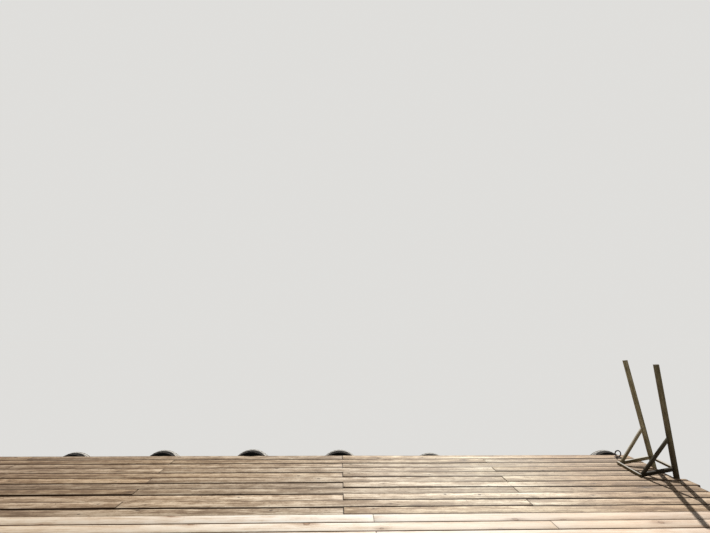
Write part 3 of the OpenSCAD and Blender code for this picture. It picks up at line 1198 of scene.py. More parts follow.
@dataclass(frozen=True)
class Sawmill:
    """Makes pieces out of sticks, with eased arrises and a little warp."""

    segment: float = 0.16
    arris: float = 0.0025
    warp: float = 0.0012
    lift: float = 0.0012
    cup: float = 0.0
    least_cup: float = 0.4
    cup_spread: float = 1.2
    waves: float = 0.9
    stick_shift: float = 50.0
    axis_shift: float = 7.7
    tone_shift: float = 20.0
    seam: float = 0.0008

    def saw(
        self, name: str, sticks: Sequence[Stick], cutters: Sequence[bpy.types.Object] = ()
    ) -> bpy.types.Object:
        """Makes one piece of several sticks.

        Args:
            name: Name of the piece.
            sticks: Its sticks.
            cutters: Shapes to cut out of it.

        Returns:
            The piece, with its grain written on it.
        """
        bench = Bench(name)
        for stick in sticks:
            size = stick.high - stick.low
            cuts = [1 if size[i] > 0.1 else 0 for i in range(3)]
            cuts[stick.along] = max(1, round(size[stick.along] / self.segment))
            bench.block(stick.low, stick.high, cuts)
        piece = bench.take_off()
        for cutter in cutters:
            cut_out(piece, cutter)
        ease(piece, self.arris)
        owners = [self._owner(v.co, sticks) for v in piece.data.vertices]
        self._write(piece, owners)
        self._weather(piece, owners)
        smooth(piece)
        return piece

    def _owner(self, point: Vector, sticks: Sequence[Stick]) -> Stick:
        """Finds the stick that a corner belongs to.

        Args:
            point: Place of the corner.
            sticks: Sticks of the piece.

        Returns:
            The stick that holds it, or else the nearest one.
        """
        for stick in sticks:
            if stick.holds(point, self.seam):
                return stick
        return min(sticks, key=lambda s: ((s.low + s.high) / 2 - point).length)

    @staticmethod
    def _write(piece: bpy.types.Object, owners: Sequence[Stick]) -> None:
        """Writes the grain, the tone and the distances to side and end.

        Args:
            piece: Piece to write on.
            owners: Stick of each corner.
        """
        pairs = list(zip(owners, corners(piece)))
        mark_grain(piece, [stick.grain(point) for stick, point in pairs])
        mark(piece, "from_side", [stick.from_side(point) for stick, point in pairs])
        mark(piece, "from_end", [stick.from_end(point) for stick, point in pairs])
        mark(piece, "tone", [stick.tone for stick in owners])

    def _weather(self, piece: bpy.types.Object, owners: Sequence[Stick]) -> None:
        """Warps each stick along its length and cups it across its width.

        Args:
            piece: Piece to change.
            owners: Stick of each corner.
        """
        for corner, stick in zip(piece.data.vertices, owners):
            off = stick.off(corner.co)
            run = corner.co[stick.along] * self.waves + stick.tone * self.stick_shift
            lanes = [(run, self.axis_shift * (i + 1), stick.tone * self.tone_shift) for i in range(3)]
            bow = Vector([noise.noise(Vector(lane)) for lane in lanes])
            bow[stick.along] = 0.0
            corner.co += bow * self.warp
            corner.co.z += bow.z * (self.lift - self.warp)
            if self.cup:
                half = (stick.high[1] - stick.low[1]) / 2
                out = (corner.co[1] - (stick.low[1] + stick.high[1]) / 2) / half
                hollow = self.least_cup + self.cup_spread * stick.tone
                corner.co[2] -= self.cup * (1.0 - out * out) * hollow
            corner.co += off


# Sub-assemblies


# Boards that have shrunk or slipped in their own way, as the millimetres by which their lake side
# and their shore side stand back. The boards of a row are counted from 0 at the landward end.
SHRUNK_BOARDS: dict[tuple[int, int], Span] = {
    (1, 2): (1.5, 5.5), (2, 1): (5.0, 0.0), (2, 2): (5.0, 4.5), (2, 3): (1.0, 7.5), (3, 2): (0.5, 5.0),
    (4, 2): (0.5, 0.0), (4, 3): (6.0, 9.0), (5, 1): (6.5, 0.0), (5, 2): (1.5, 7.0), (6, 1): (1.0, 5.0),
    (7, 1): (6.5, 3.0), (7, 2): (1.0, 7.5), (8, 1): (7.5, 12.0), (8, 3): (4.5, 0.0), (9, 2): (4.0, 1.5),
    (10, 1): (7.5, 10.0), (10, 2): (0.0, 8.5), (10, 3): (7.5, 0.0), (13, 1): (4.0, 1.5),
}

# How far the ends of some boards lie out of place, in millimetres, as lakewards and up at the
# landward end, then the same at the ladder end. The boards are counted in the same way.
BOARD_SPRINGS: dict[tuple[int, int], tuple[float, float, float, float]] = {
    (3, 1): (0.0, 0.0, -0.5, -1.5), (4, 3): (1.0, 3.0, 0.0, 0.5),
    (5, 1): (0.0, 0.0, -1.0, -2.5), (5, 2): (0.5, 2.5, 0.0, 0.0), (6, 3): (0.0, 3.5, 0.0, 0.5),
    (7, 1): (0.0, 0.0, -2.0, -3.0), (7, 2): (2.0, 3.5, 0.0, 0.0), (8, 1): (0.0, 3.0, 1.0, 4.0),
    (9, 1): (0.0, -1.5, -2.0, -3.0), (9, 2): (2.0, 3.5, 0.0, 0.0), (10, 1): (0.0, 3.0, 0.5, 4.0),
    (10, 2): (0.0, 0.0, 0.0, 3.0), (10, 3): (-0.5, 2.5, 0.0, 0.0),
    (11, 1): (0.0, -1.5, -2.0, -3.0), (11, 2): (0.5, 1.5, 0.0, -1.5),
}


@dataclass
class Deck:
    """Sixteen rows of boards, and the nails and screws that hold them."""

    layout: Layout
    stock: Stock
    notch: Callable[[], bpy.types.Object]
    seed: int = 41
    nail_r: float = 0.0042
    nail_t: float = 0.003
    nail_crown: float = 0.0004
    nail_inset: float = 0.028
    nail_from_end: float = 0.022
    nail_sunk: float = 0.0012
    nail_jog: Span = (0.006, 0.004)
    notched_rows: tuple[int, ...] = (3, 4, 5, 6)
    end_gap: float = 0.0012
    longest_trim: float = 0.014
    old_slack: float = 0.002
    new_slack: float = 0.0005
    thickness_spread: float = 0.0018
    usual_wear_mm: Span = (0.5, 2.5)

    def boards(self, row: int) -> list[Stick]:
        """Sets out the boards of a row, each a little uneven.

        Args:
            row: Number of the row, counted from the lake edge.

        Returns:
            The boards.
        """
        lay = self.layout
        low, high = node_box(self.node(row))
        dice = random.Random(self.seed * 100 + row)
        wear = random.Random(self.seed + row)
        long = row in lay.long_rows
        end = high.x if long else lay.right
        sticks = []
        slack = self.old_slack if row <= lay.old_rows else self.new_slack
        for place, (start, stop) in enumerate(split(low.x, end, lay.joints(row), self.end_gap)):
            usual = wear.uniform(*self.usual_wear_mm), wear.uniform(*self.usual_wear_mm)
            lake, shore = (v / 1000 for v in SHRUNK_BOARDS.get((row, place), usual))
            springs = [v / 1000 for v in BOARD_SPRINGS.get((row, place), (0.0, 0.0, 0.0, 0.0))]
            trim = dice.uniform(0.0, self.longest_trim) if stop == end and not long else 0.0
            near = Vector((start + dice.uniform(0, slack), low.y + shore, low.z))
            far = stop - dice.uniform(0, slack) - trim
            top = high.z - dice.uniform(0, self.thickness_spread)
            ends = Vector((0.0, *springs[:2])), Vector((0.0, *springs[2:]))
            sticks.append(Stick(near, Vector((far, high.y - lake, top)), dice.random(), 0, *ends))
        return sticks

    def node(self, row: int) -> str:
        """Names the node of a row."""
        age = "old" if row <= self.layout.old_rows else "new"
        return f"{age}_boards_row_{row:02d}"

    def build(self) -> None:
        """Builds every row and its nails."""
        old = Sawmill(warp=0.0010, lift=0.0034, cup=0.0016, arris=0.0028)
        new = Sawmill(warp=0.0006, lift=0.0014, cup=0.0006, arris=0.0014)
        places: dict[bool, list[Matrix]] = {True: [], False: []}
        for row in range(1, self.layout.rows + 1):
            fresh = row > self.layout.old_rows
            sticks = self.boards(row)
            cutters = [self.notch()] if row in self.notched_rows else []
            piece = (new if fresh else old).saw(f"deck_row_{row:02d}", sticks, cutters)
            finish, slot = (Finish.NEW_BOARD, "new_boards") if fresh else (Finish.OLD_BOARD, "old_boards")
            self.stock.hand_over(piece, finish, slot, self.node(row))
            places[fresh] += self.nails(sticks, fresh)
        for fresh, name, finish in ((False, "old_nails", Finish.RUST), (True, "new_screws", Finish.ZINC)):
            self.stock.hand_over(stamp(self.nail(), places[fresh], name), finish, "rusty_steel")

    def nail(self) -> bpy.types.Object:
        """Makes one nail head with a low crown.

        Returns:
            The nail, its top at the origin.
        """
        bench = Bench("nail")
        bench.rod((0, 0, -self.nail_t), self.nail_t, self.nail_r, 10)
        bench.pick_faces(lambda c, n: n.z > 0.9)
        bpy.ops.mesh.inset(thickness=self.nail_r * 0.35)
        bpy.ops.transform.translate(value=(0, 0, self.nail_crown))
        piece = bench.take_off()
        smooth(piece, 50)
        return piece

    def nails(self, sticks: Sequence[Stick], fresh: bool) -> list[Matrix]:
        """Places two nails wherever a board crosses a joist.

        Args:
            sticks: Boards of one row.
            fresh: Whether they are newer boards, which have short joists of their own.

        Returns:
            Place of each nail.
        """
        lay = self.layout
        rims = [(x, lay.plank_t) for x in (lay.left + lay.plank_t / 2, lay.rim_x - lay.plank_t / 2)]
        lines = [rims[0], *lay.joists(), rims[1]]
        if fresh:
            lines += [(x, 2 * lay.plank_t) for x in lay.short_joists()]
        dice = random.Random(round(sticks[0].low.y * 1000))
        places = []
        for stick in sticks:
            for x, wide in lines:
                at = min(max(x, stick.low.x + self.nail_from_end), stick.high.x - self.nail_from_end)
                if abs(at - x) > wide / 2:
                    continue
                for y in (stick.low.y + self.nail_inset, stick.high.y - self.nail_inset):
                    jog = Vector([dice.uniform(-reach, reach) for reach in self.nail_jog] + [0])
                    spot = Vector((at, y, stick.high.z - self.nail_sunk)) + jog
                    places.append(Matrix.Translation(spot + stick.off(spot)))
        return places


@dataclass
class Framing:
    """Joists, rims, fascia planks and twin beams."""

    layout: Layout
    stock: Stock
    seed: int = 7
    warp: float = 0.0010
    pair_gap: float = 0.0004

    def build(self) -> None:
        """Builds every framing node."""
        lay = self.layout
        mill = Sawmill(segment=0.35, arris=0.003, warp=self.warp)
        dice = random.Random(self.seed)
        for node in ("joint_joists", "mid_joists", "ladder_end_rim", "landward_end_rim"):
            piece = mill.saw(node + "_timber", self.cross_timbers(node, dice))
            self.stock.hand_over(piece, Finish.FRAME, "frame_timber", node)
        runs = {
            "lake_fascia": 1, "shore_fascia": 2, "lake_outer_beam": 2,
            "lake_inner_beam": 1, "shore_inner_beam": 1, "shore_outer_beam": 2,
        }
        for node, first in runs.items():
            low, high = node_box(node)
            near, far = low.y + self.warp, high.y - self.warp
            sticks = [
                Stick(Vector((a, near, low.z)), Vector((b, far, high.z)), dice.random())
                for a, b in lay.lengths(first, low.x, high.x)
            ]
            piece = mill.saw(node + "_timber", sticks)
            self.stock.hand_over(piece, Finish.FRAME, "frame_timber", node)

    def cross_timbers(self, node: str, dice: random.Random) -> list[Stick]:
        """Sets out the timbers of one cross node.

        Args:
            node: Name of the node.
            dice: Source of the tones.

        Returns:
            The timbers, each joint joist as a pair.
        """
        lay = self.layout
        low, high = node_box(node)
        if node.endswith("rim"):
            thin = Vector((self.warp, 0.0, 0.0))
            return [Stick(low + thin, high - thin, dice.random(), 1)]
        spans: list[tuple[float, float, float]] = []
        for x, wide in lay.joists():
            double = wide > lay.plank_t
            if double and node == "joint_joists":
                spans += [(a, b, high.y) for a, b in self._pair(x)]
            elif not double and node == "mid_joists":
                spans.append((x - lay.plank_t / 2, x + lay.plank_t / 2, high.y))
        if node == "mid_joists":
            reach = low.y + (lay.new_rows + 1) * lay.pitch
            spans += [(a, b, reach) for x in lay.short_joists() for a, b in self._pair(x)]
        return [
            Stick(Vector((a, low.y, low.z)), Vector((b, far, high.z)), dice.random(), 1)
            for a, b, far in spans
        ]

    def _pair(self, x: float) -> list[Span]:
        """Gives the thicknesses of two joists that lie side by side at a joint."""
        thick = self.layout.plank_t
        return [(x - thick, x - self.pair_gap), (x + self.pair_gap, x + thick)]


@dataclass
class Piles:
    """Two lines of round piles with squared heads, and the bolts through them."""

    layout: Layout
    stock: Stock
    bolt_r: float = 0.008
    bolt_spots: tuple[Span, Span] = ((-0.04, 0.135), (0.04, 0.06))
    sides: int = 32
    cuts: int = 9
    arris: float = 0.003
    cut_over: float = 0.01
    wane: float = 0.045
    wane_cells: Cells = (9.0, 9.0, 1.7)
    wane_shift: float = 5.0
    wane_clear: float = 0.004
    grain_shift: float = 9.0
    tone_step: float = 0.37

    def build(self) -> None:
        """Builds both lines and the bolts."""
        lay = self.layout
        bolts: list[Matrix] = []
        for node, inset in (("lake_piles", lay.pile_inset), ("shore_piles", lay.width - lay.pile_inset)):
            y = lay.lake_edge - inset
            places = [Matrix.Translation((x, y, 0)) for x in lay.pile_lines()]
            piece = stamp(self.pile(), places, node + "_logs")
            self._write(piece, y)
            smooth(piece, 30)
            self.stock.hand_over(piece, Finish.PILE, "pile_wood", node)
            bolts += self._bolts(y)
        piece = stamp(bolt_head(self.bolt_r), bolts, "pile_bolts")
        self.stock.hand_over(piece, Finish.RUST, "rusty_steel")

    def _bolts(self, y: float) -> list[Matrix]:
        """Places two bolts on each face of every pile's beams.

        Args:
            y: Y of the pile line.

        Returns:
            Place of each bolt.
        """
        lay = self.layout
        places = []
        for x in lay.pile_lines():
            for side in (-1, 1):
                face = y + side * (lay.pile_head_t / 2 + lay.beam_t)
                for along, up in self.bolt_spots:
                    spot = Matrix.Translation((x + along, face, lay.beam_top - lay.beam_h + up))
                    places.append(spot @ Matrix.Rotation(-side * math.pi / 2, 4, "X"))
        return places

    def pile(self) -> bpy.types.Object:
        """Makes one pile with its foot at the origin.

        Returns:
            The pile.
        """
        lay = self.layout
        bench = Bench("pile")
        bench.rod((0, 0, 0), lay.beam_top, lay.pile_d / 2, self.sides, self.cuts)
        piece = bench.take_off()
        seat = lay.beam_top - lay.beam_h
        for side in (-1, 1):
            near, far = sorted((side * lay.pile_head_t / 2, side * lay.pile_d))
            cutter = Bench("cutter")
            cutter.block((-lay.pile_d, near, seat), (lay.pile_d, far, lay.beam_top + self.cut_over))
            cut_out(piece, cutter.take_off())
        ease(piece, self.arris, 1, 50)
        return piece

    def _write(self, piece: bpy.types.Object, y: float) -> None:
        """Writes the grain along the piles and makes their outline uneven.

        Args:
            piece: One line of piles.
            y: Y of the line.
        """
        lay = self.layout
        points = corners(piece)
        lines = lay.pile_lines()
        near = [min(range(len(lines)), key=lambda i: abs(lines[i] - p.x)) for p in points]
        seat = lay.beam_top - lay.beam_h
        grain = []
        for corner, point, i in zip(piece.data.vertices, points, near):
            axis = Vector((lines[i], y, point.z))
            out = point - axis
            turn = math.atan2(out.y, out.x)
            up = point.z + self.grain_shift * i
            grain.append((up, math.cos(turn) * out.length, math.sin(turn) * out.length))
            cells = self.wane_cells
            spot = (out.x * cells[0], out.y * cells[1], point.z * cells[2] + i * self.wane_shift)
            pull = 0.5 + 0.5 * noise.noise(Vector(spot))
            if point.z <= seat - self.wane_clear and out.length >= lay.pile_d / 4:
                corner.co = axis + out * (1 - self.wane * pull)
        mark_grain(piece, grain)
        mark(piece, "tone", [(i * self.tone_step) % 1.0 for i in near])
        mark(piece, "from_side", [1.0] * len(points))
        mark(piece, "from_end", [max(0.0, lay.beam_top - p.z) for p in points])


def bolt_head(shank: float) -> bpy.types.Object:
    """Makes a hexagon nut on a washer, standing on the origin along Z.

    Args:
        shank: Radius of the bolt.

    Returns:
        The bolt head.
    """
    washer_t, nut_h, end_h = shank * 0.35, shank * 1.3, shank * 0.7
    bench = Bench("bolt_head")
    bench.rod((0, 0, 0), washer_t, shank * 2.3, 16)
    bench.rod((0, 0, washer_t), nut_h, shank * 1.75, 6)
    bench.rod((0, 0, washer_t + nut_h), end_h, shank, 10)
    piece = bench.take_off()
    ease(piece, shank * 0.12, 1, 40)
    smooth(piece, 30)
    return piece


@dataclass
class TyreFenders:
    """Nine worn tyres, bolted flat against the lake fascia."""

    layout: Layout
    stock: Stock
    outer_d: float = 0.580
    bead_d: float = 0.360
    wide: float = 0.165
    sidewall_t: float = 0.009
    tread_t: float = 0.016
    groove_w: float = 0.008
    groove_deep: float = 0.005
    groove_bevel: float = 0.0012
    rib_drop: float = 0.0005
    rib_edge: float = 0.010
    squareness: float = 0.78
    bead_angle: int = -50
    crown_angle: int = 60
    shoulder_clear: float = 0.004
    wall_top_r: float = 0.235
    bead_round: float = 0.002
    bead_lips: Span = (0.020, 0.012)
    slot_deep: float = 0.0018
    slot_zone: Span = (0.012, 0.003)
    crown_share: float = 0.30
    slot_step: int = 4
    ribs: int = 5
    steps: int = 144
    number: int = 9
    turn_step: float = 0.83
    bolt_r: float = 0.0075
    bolt_circle_r: float = 0.215
    bolt_angles: Span = (55.0, 125.0)

    def skin(self, angle: float, reach: float, half: float) -> tuple[float, float]:
        """Gives one point of the carcass outline.

        Args:
            angle: Angle around the section, in degrees from the axial direction.
            reach: Radial half height.
            half: Axial half width.

        Returns:
            Radius and axial place.
        """
        def squared(v: float) -> float:
            """Squares up a sine."""
            return math.copysign(abs(v) ** self.squareness, v)

        middle = (self.outer_d + self.bead_d) / 4
        turn = math.radians(angle)
        return middle + reach * squared(math.sin(turn)), half * squared(math.cos(turn))

    def section(self) -> list[tuple[float, float]]:
        """Draws the section as one closed line, with grooves, rim rib and beads.

        Returns:
            Points as radius and axial place, in order.
        """
        reach = (self.outer_d - self.bead_d) / 4
        half = self.wide / 2
        top = self.outer_d / 2
        crown = []
        for groove in (1, 0, -1):
            middle = groove * self.wide / self.ribs
            a, b = middle + self.groove_w / 2, middle - self.groove_w / 2
            floor = top - self.groove_deep
            crown += [(top - self.groove_bevel, a + self.rib_edge), (top - self.rib_drop, a)]
            crown += [(floor, a - self.groove_bevel), (floor, b + self.groove_bevel)]
            crown.append((top - self.rib_drop, b))
        crown.append((top - self.groove_bevel, b - self.rib_edge))
        outer_angles = range(self.bead_angle, self.crown_angle + 1, 5)
        outer = [self.skin(angle, reach, half) for angle in outer_angles]
        limit = crown[0][1] + self.shoulder_clear
        outer = [p for p in outer if p[1] > limit or p[0] < self.wall_top_r]
        mirrored = [(r, -a) for r, a in reversed(outer)]
        inner_angles = range(180 - self.bead_angle, self.bead_angle - 1, -10)
        inner = [self.skin(a, reach - self.tread_t, half - self.sidewall_t) for a in inner_angles]
        bead = self.skin(self.bead_angle, reach, half)[1]
        inner_r = self.bead_d / 2
        lips = [bead - lip for lip in self.bead_lips]
        foot = [(inner_r + self.bead_round, lips[0]), (inner_r, lips[1])]
        far_foot = [(r, -a) for r, a in reversed(foot)]
        return foot + outer + crown + mirrored + far_foot + inner

    def tyre(self) -> bpy.types.Object:
        """Makes one tyre around the Y axis, its lower sidewall at Y = -wide / 2.

        Returns:
            The tyre.
        """
        line = self.section()
        bench = Bench("tyre")
        mesh = bmesh.from_edit_mesh(bench.piece.data)
        ring = [mesh.verts.new((r, a, 0.0)) for r, a in line]
        for one, two in zip(ring, ring[1:] + ring[:1]):
            mesh.edges.new((one, two)).select_set(True)
        bmesh.update_edit_mesh(bench.piece.data)
        bpy.ops.mesh.select_all(action="SELECT")
        bpy.ops.mesh.spin(steps=self.steps, angle=2 * math.pi, center=(0, 0, 0), axis=(0, 1, 0))
        bpy.ops.mesh.select_all(action="SELECT")
        bpy.ops.mesh.remove_doubles(threshold=0.00005)
        bpy.ops.mesh.normals_make_consistent(inside=False)
        bench.pick_faces(self._is_slot)
        bpy.ops.mesh.extrude_region_shrink_fatten(
            TRANSFORM_OT_shrink_fatten={"value": -self.slot_deep, "use_even_offset": False}
        )
        piece = bench.take_off()
        points = corners(piece)
        out = [math.hypot(p.x, p.z) for p in points]
        floor = self.outer_d / 2 - self.groove_deep - 0.001
        mark(piece, "tread", [1.0 if r > floor else 0.0 for r in out])
        mark(piece, "ring", out)
        mark(piece, "outward", [p.y / self.wide + 0.5 for p in points])
        smooth(piece, 32)
        return piece

    def _is_slot(self, middle: Vector, normal: Vector) -> bool:
        """Picks every fourth strip of the tread, staggered from rib to rib.

        Args:
            middle: Middle of a face.
            normal: Its normal, which doesn't matter.

        Returns:
            Whether the face is sunk as a slot.
        """
        deep = self.outer_d / 2 - math.hypot(middle.x, middle.z)
        shoulder, groove = self.slot_zone
        if deep > shoulder or (deep > groove and abs(middle.y) < self.wide * self.crown_share):
            return False
        turn = math.atan2(middle.z, middle.x) % (2 * math.pi)
        step = int(turn / (2 * math.pi) * self.steps)
        rib = int((middle.y + self.wide) / (self.wide / self.ribs))
        return (step + self.slot_step // 2 * (rib % 2)) % self.slot_step == 0

    def build(self) -> None:
        """Builds every tyre with its bolts."""
        master = self.tyre()
        bolts: list[Matrix] = []
        for n in range(1, self.number + 1):
            node = f"tyre_fender_{n:02d}"
            low, high = node_box(node)
            middle = (low + high) / 2
            piece = add(f"tyre_{n:02d}", master.data.copy())
            settle(piece, Matrix.Translation(middle) @ Matrix.Rotation(n * self.turn_step, 4, "Y"))
            self.stock.hand_over(piece, Finish.RUBBER, "tyre_rubber", node)
            for angle in self.bolt_angles:
                arm = Vector((math.cos(math.radians(angle)), 0, math.sin(math.radians(angle))))
                spot = Vector((middle.x, low.y + self.sidewall_t, middle.z)) + arm * self.bolt_circle_r
                bolts.append(Matrix.Translation(spot) @ Matrix.Rotation(-math.pi / 2, 4, "X"))
        bpy.data.objects.remove(master)
        piece = stamp(bolt_head(self.bolt_r), bolts, "tyre_bolts")
        self.stock.hand_over(piece, Finish.RUST, "rusty_steel")


@dataclass
class Ladder:
    """Leaning bathing ladder: two splayed stiles, rungs, and a braced foot on the deck."""

    layout: Layout
    stock: Stock
    inset: float = 0.627
    turn: float = 6.0
    span: float = 0.390
    stile_w: float = 0.045
    stile_t: float = 0.040
    lean: float = 7.5
    splay: float = 4.7
    above: float = 1.265
    below: float = 0.860
    rungs: int = 3
    first_rung: float = 0.200
    rung_pitch: float = 0.260
    rung_h: float = 0.034
    rung_deep: float = 0.038
    rung_housing: float = 0.010
    arm_l: float = 0.352
    arm_h: float = 0.036
    arm_rise: float = 12.0
    arm_t: float = 0.032
    brace_h: float = 0.028
    brace_rise: float = 0.440
    bar: float = 0.028
    bar_proud: float = 0.030
    slack: float = 0.0003
    tie_clear: float = 0.001
    long_edge: float = 0.15
    short_edge: float = 0.10
    notch_clear: float = 0.004
    notch_reach: float = 0.4
    notch_half_h: float = 0.064
    arm_tones: Span = (0.05, 1.0)
    brace_tones: Span = (0.25, 1.0)
    stile_tones: Span = (0.52, 0.98)
    rung_tones: tuple[float, float, float] = (0.20, 0.45, 0.70)
    bar_tones: Span = (0.85, 0.90)
    bolt_r: float = 0.006
    bolt_drops: Span = (0.045, 0.120)

    def place(self) -> Matrix:
        """Gives the ladder's place on the deck.

        Returns:
            Place at the middle between the stiles, level with the boards and turned in plan.
        """
        lay = self.layout
        face = self.stile_w / 2 / self._cos(self.lean)
        side = self.stile_t / 2 / self._cos(self.splay)
        reach = face * self._cos(self.turn) + (side + self.span / 2) * self._sin(self.turn)
        spot = (lay.rim_x + self.slack + reach, lay.lake_edge - self.inset, lay.deck_h)
        return Matrix.Translation(spot) @ Matrix.Rotation(-math.radians(self.turn), 4, "Z")

    def leaning(self) -> Matrix:
        """Gives the leaning plane that holds both stiles."""
        return self.place() @ Matrix.Rotation(-math.radians(self.lean), 4, "Y")

    def on_side(self, side: int) -> Matrix:
        """Gives the frame of one stile."""
        move = Matrix.Translation((0, side * self.span / 2, 0))
        return self.leaning() @ move @ Matrix.Rotation(-side * math.radians(self.splay), 4, "X")

    @staticmethod
    def _cos(angle: float) -> float:
        """Takes the cosine of degrees."""
        return math.cos(math.radians(angle))

    @staticmethod
    def _sin(angle: float) -> float:
        """Takes the sine of degrees."""
        return math.sin(math.radians(angle))

    @staticmethod
    def _tan(angle: float) -> float:
        """Takes the tangent of degrees."""
        return math.tan(math.radians(angle))

    def notch(self) -> bpy.types.Object:
        """Makes the cutter for the boards' ends, where the stiles pass down.

        Returns:
            The cutter.
        """
        side = self.stile_t / 2 / self._cos(self.splay)
        face = self.stile_w / 2 / self._cos(self.lean)
        half = self.span / 2 + side + self.notch_clear
        bench = Bench("notch")
        low = (-face - self.slack, -half, -self.notch_half_h)
        bench.block(low, (self.notch_reach, half, self.notch_half_h))
        piece = bench.take_off()
        settle(piece, self.place())
        return piece

    def rung_boxes(self, clear: float = 0.0) -> list[tuple[Vector, Vector]]:
        """Sets out the rungs in the leaning plane.

        Args:
            clear: Room to leave around them.

        Returns:
            Lowest and highest corner of each.
        """
        side = self.stile_t / 2 / self._cos(self.splay)
        boxes = []
        for r in range(self.rungs):
            z = -self.first_rung - r * self.rung_pitch
            half = self.span / 2 + z * self._tan(self.splay) - side + self.rung_housing + clear
            reach = Vector((self.rung_deep / 2 + clear, half, self.rung_h / 2 + clear))
            middle = Vector((0, 0, z))
            boxes.append((middle - reach, middle + reach))
        return boxes

    def build(self) -> None:
        """Builds every ladder piece and its fixings."""
        mill = Sawmill(segment=0.12, arris=0.0035, warp=0.0012)
        for side, node in ((1, "ladder_far_stile"), (-1, "ladder_near_stile")):
            half = Vector((self.stile_w / 2, self.stile_t / 2, 0))
            low, high = -half - Vector((0, 0, self.below)), half + Vector((0, 0, self.above))
            stick = Stick(low, high, self.stile_tones[side > 0], 2)
            cutter = Bench("housings")
            for low, high in self.rung_boxes(self.slack):
                cutter.block(low, high)
            cutting = cutter.take_off()
            settle(cutting, self.on_side(side).inverted() @ self.leaning())
            piece = mill.saw(node + "_timber", [stick], [cutting])
            self._finish(piece, self.on_side(side), node)
        rungs = [Stick(*box, tone, 1) for box, tone in zip(self.rung_boxes(), self.rung_tones)]
        self._finish(mill.saw("ladder_rung_bars", rungs), self.leaning(), "ladder_rungs")
        self._side_frames(mill)
        self._bars(mill)
        self._fixings()

    def _side_lines(self) -> dict[str, Vector]:
        """Works out the corners of a side frame in its stile's plane.

        Returns:
            Corners of the arm and the brace as (out, up).
        """
        land = self.stile_w / 2 + self.slack
        level = self._tan(self.lean) / self._cos(self.splay)
        plumb = self._cos(self.splay) / self._tan(self.lean)
        slope = self._tan(self.arm_rise - self.lean) / self._cos(self.splay)
        lift = self.slack + self.arm_t / 2 * self._sin(self.splay) * self._cos(self.lean)
        lift /= self._cos(self.lean) * self._cos(self.splay)
        low = Vector((-land - self.arm_l, lift + (land + self.arm_l) * level))
        rise = self.arm_h * math.sqrt(1 + slope * slope)

        def meet(p: Vector, a: float, q: Vector, b: float) -> Vector:
            """Finds where two sloping lines meet."""
            x = (q.y - p.y + p.x * a - q.x * b) / (a - b)
            return Vector((x, p.y + (x - p.x) * a))

        def to_stile(p: Vector, a: float) -> Vector:
            """Runs a sloping line to the stile's land face."""
            return Vector((-land, p.y + (-land - p.x) * a))

        top = low + Vector((0, rise))
        high = meet(low, plumb, top, slope)
        heel = high + Vector((0, self.slack))
        head = Vector((-land, self.brace_rise / self._cos(self.lean) / self._cos(self.splay)))
        steep = (head.y - heel.y) / (head.x - heel.x)
        under = heel - Vector((0, self.brace_h * math.sqrt(1 + steep * steep)))
        return {
            "low": low, "arm_end": to_stile(low, slope), "arm_top": to_stile(top, slope),
            "high": high, "heel": heel, "knee": meet(under, steep, heel, slope),
            "brace_end": to_stile(under, steep), "head": head,
        }

    def _outline(
        self, name: str, outline: Sequence[Vector], mill: Sawmill, tone: float
    ) -> bpy.types.Object:
        """Makes one bar of a side frame from its outline.

        Args:
            name: Name of the piece.
            outline: Its corners in the stile's plane, as (out, up).
            mill: Mill that eases and warps it.
            tone: How pale it is, from 0 to 1.

        Returns:
            The bar, in the stile's own frame.
        """
        half = self.arm_t / 2
        bench = Bench(name)
        mesh = bmesh.from_edit_mesh(bench.piece.data)
        mesh.faces.new([mesh.verts.new((c.x, half, c.y)) for c in outline])
        bmesh.update_edit_mesh(bench.piece.data)
        bpy.ops.mesh.select_all(action="SELECT")
        bpy.ops.mesh.extrude_region_move(TRANSFORM_OT_translate={"value": (0, -2 * half, 0)})
        bpy.ops.mesh.select_all(action="SELECT")
        bpy.ops.mesh.normals_make_consistent(inside=False)
        bench.pick_edges(lambda a, b: (b - a).length > self.long_edge)
        bpy.ops.mesh.subdivide(number_cuts=3)
        piece = bench.take_off()
        ease(piece, mill.arris)
        start, run = outline[0], outline[1] - outline[0]
        if run.length < self.short_edge:
            start, run = outline[-1], outline[0] - outline[-1]
        along = run.normalized()
        points = corners(piece)
        steps = [Vector((p.x, p.z)) - start for p in points]
        runs = [step.dot(along) for step in steps]
        drops = [step.y * along.x - step.x * along.y for step in steps]
        mark_grain(piece, [(r + 3.0 * run.length, p.y, d) for r, p, d in zip(runs, points, drops)])
        mark(piece, "tone", [tone] * len(points))
        mark(piece, "from_side", [max(0.0, half - abs(p.y)) for p in points])
        mark(piece, "from_end", [max(0.0, min(r, run.length - r)) for r in runs])
        return piece

    def _side_frames(self, mill: Sawmill) -> None:
        """Builds the low arms and the braces of both sides.

        Args:
            mill: Mill that eases them.
        """
        at = self._side_lines()
        outlines = {
            "ladder_arms": (("low", "arm_end", "arm_top", "high"), self.arm_tones),
            "ladder_braces": (("heel", "knee", "brace_end", "head"), self.brace_tones),
        }
        for node, (names, tones) in outlines.items():
            bars = []
            for side, tone in zip((-1, 1), tones):
                bar = self._outline(f"{node}_bar_{side}", [at[name] for name in names], mill, tone)
                settle(bar, self.on_side(side))
                bars.append(bar)
            piece = join(bars, node + "_bars")
            smooth(piece)
            self._finish(piece, Matrix(), node)

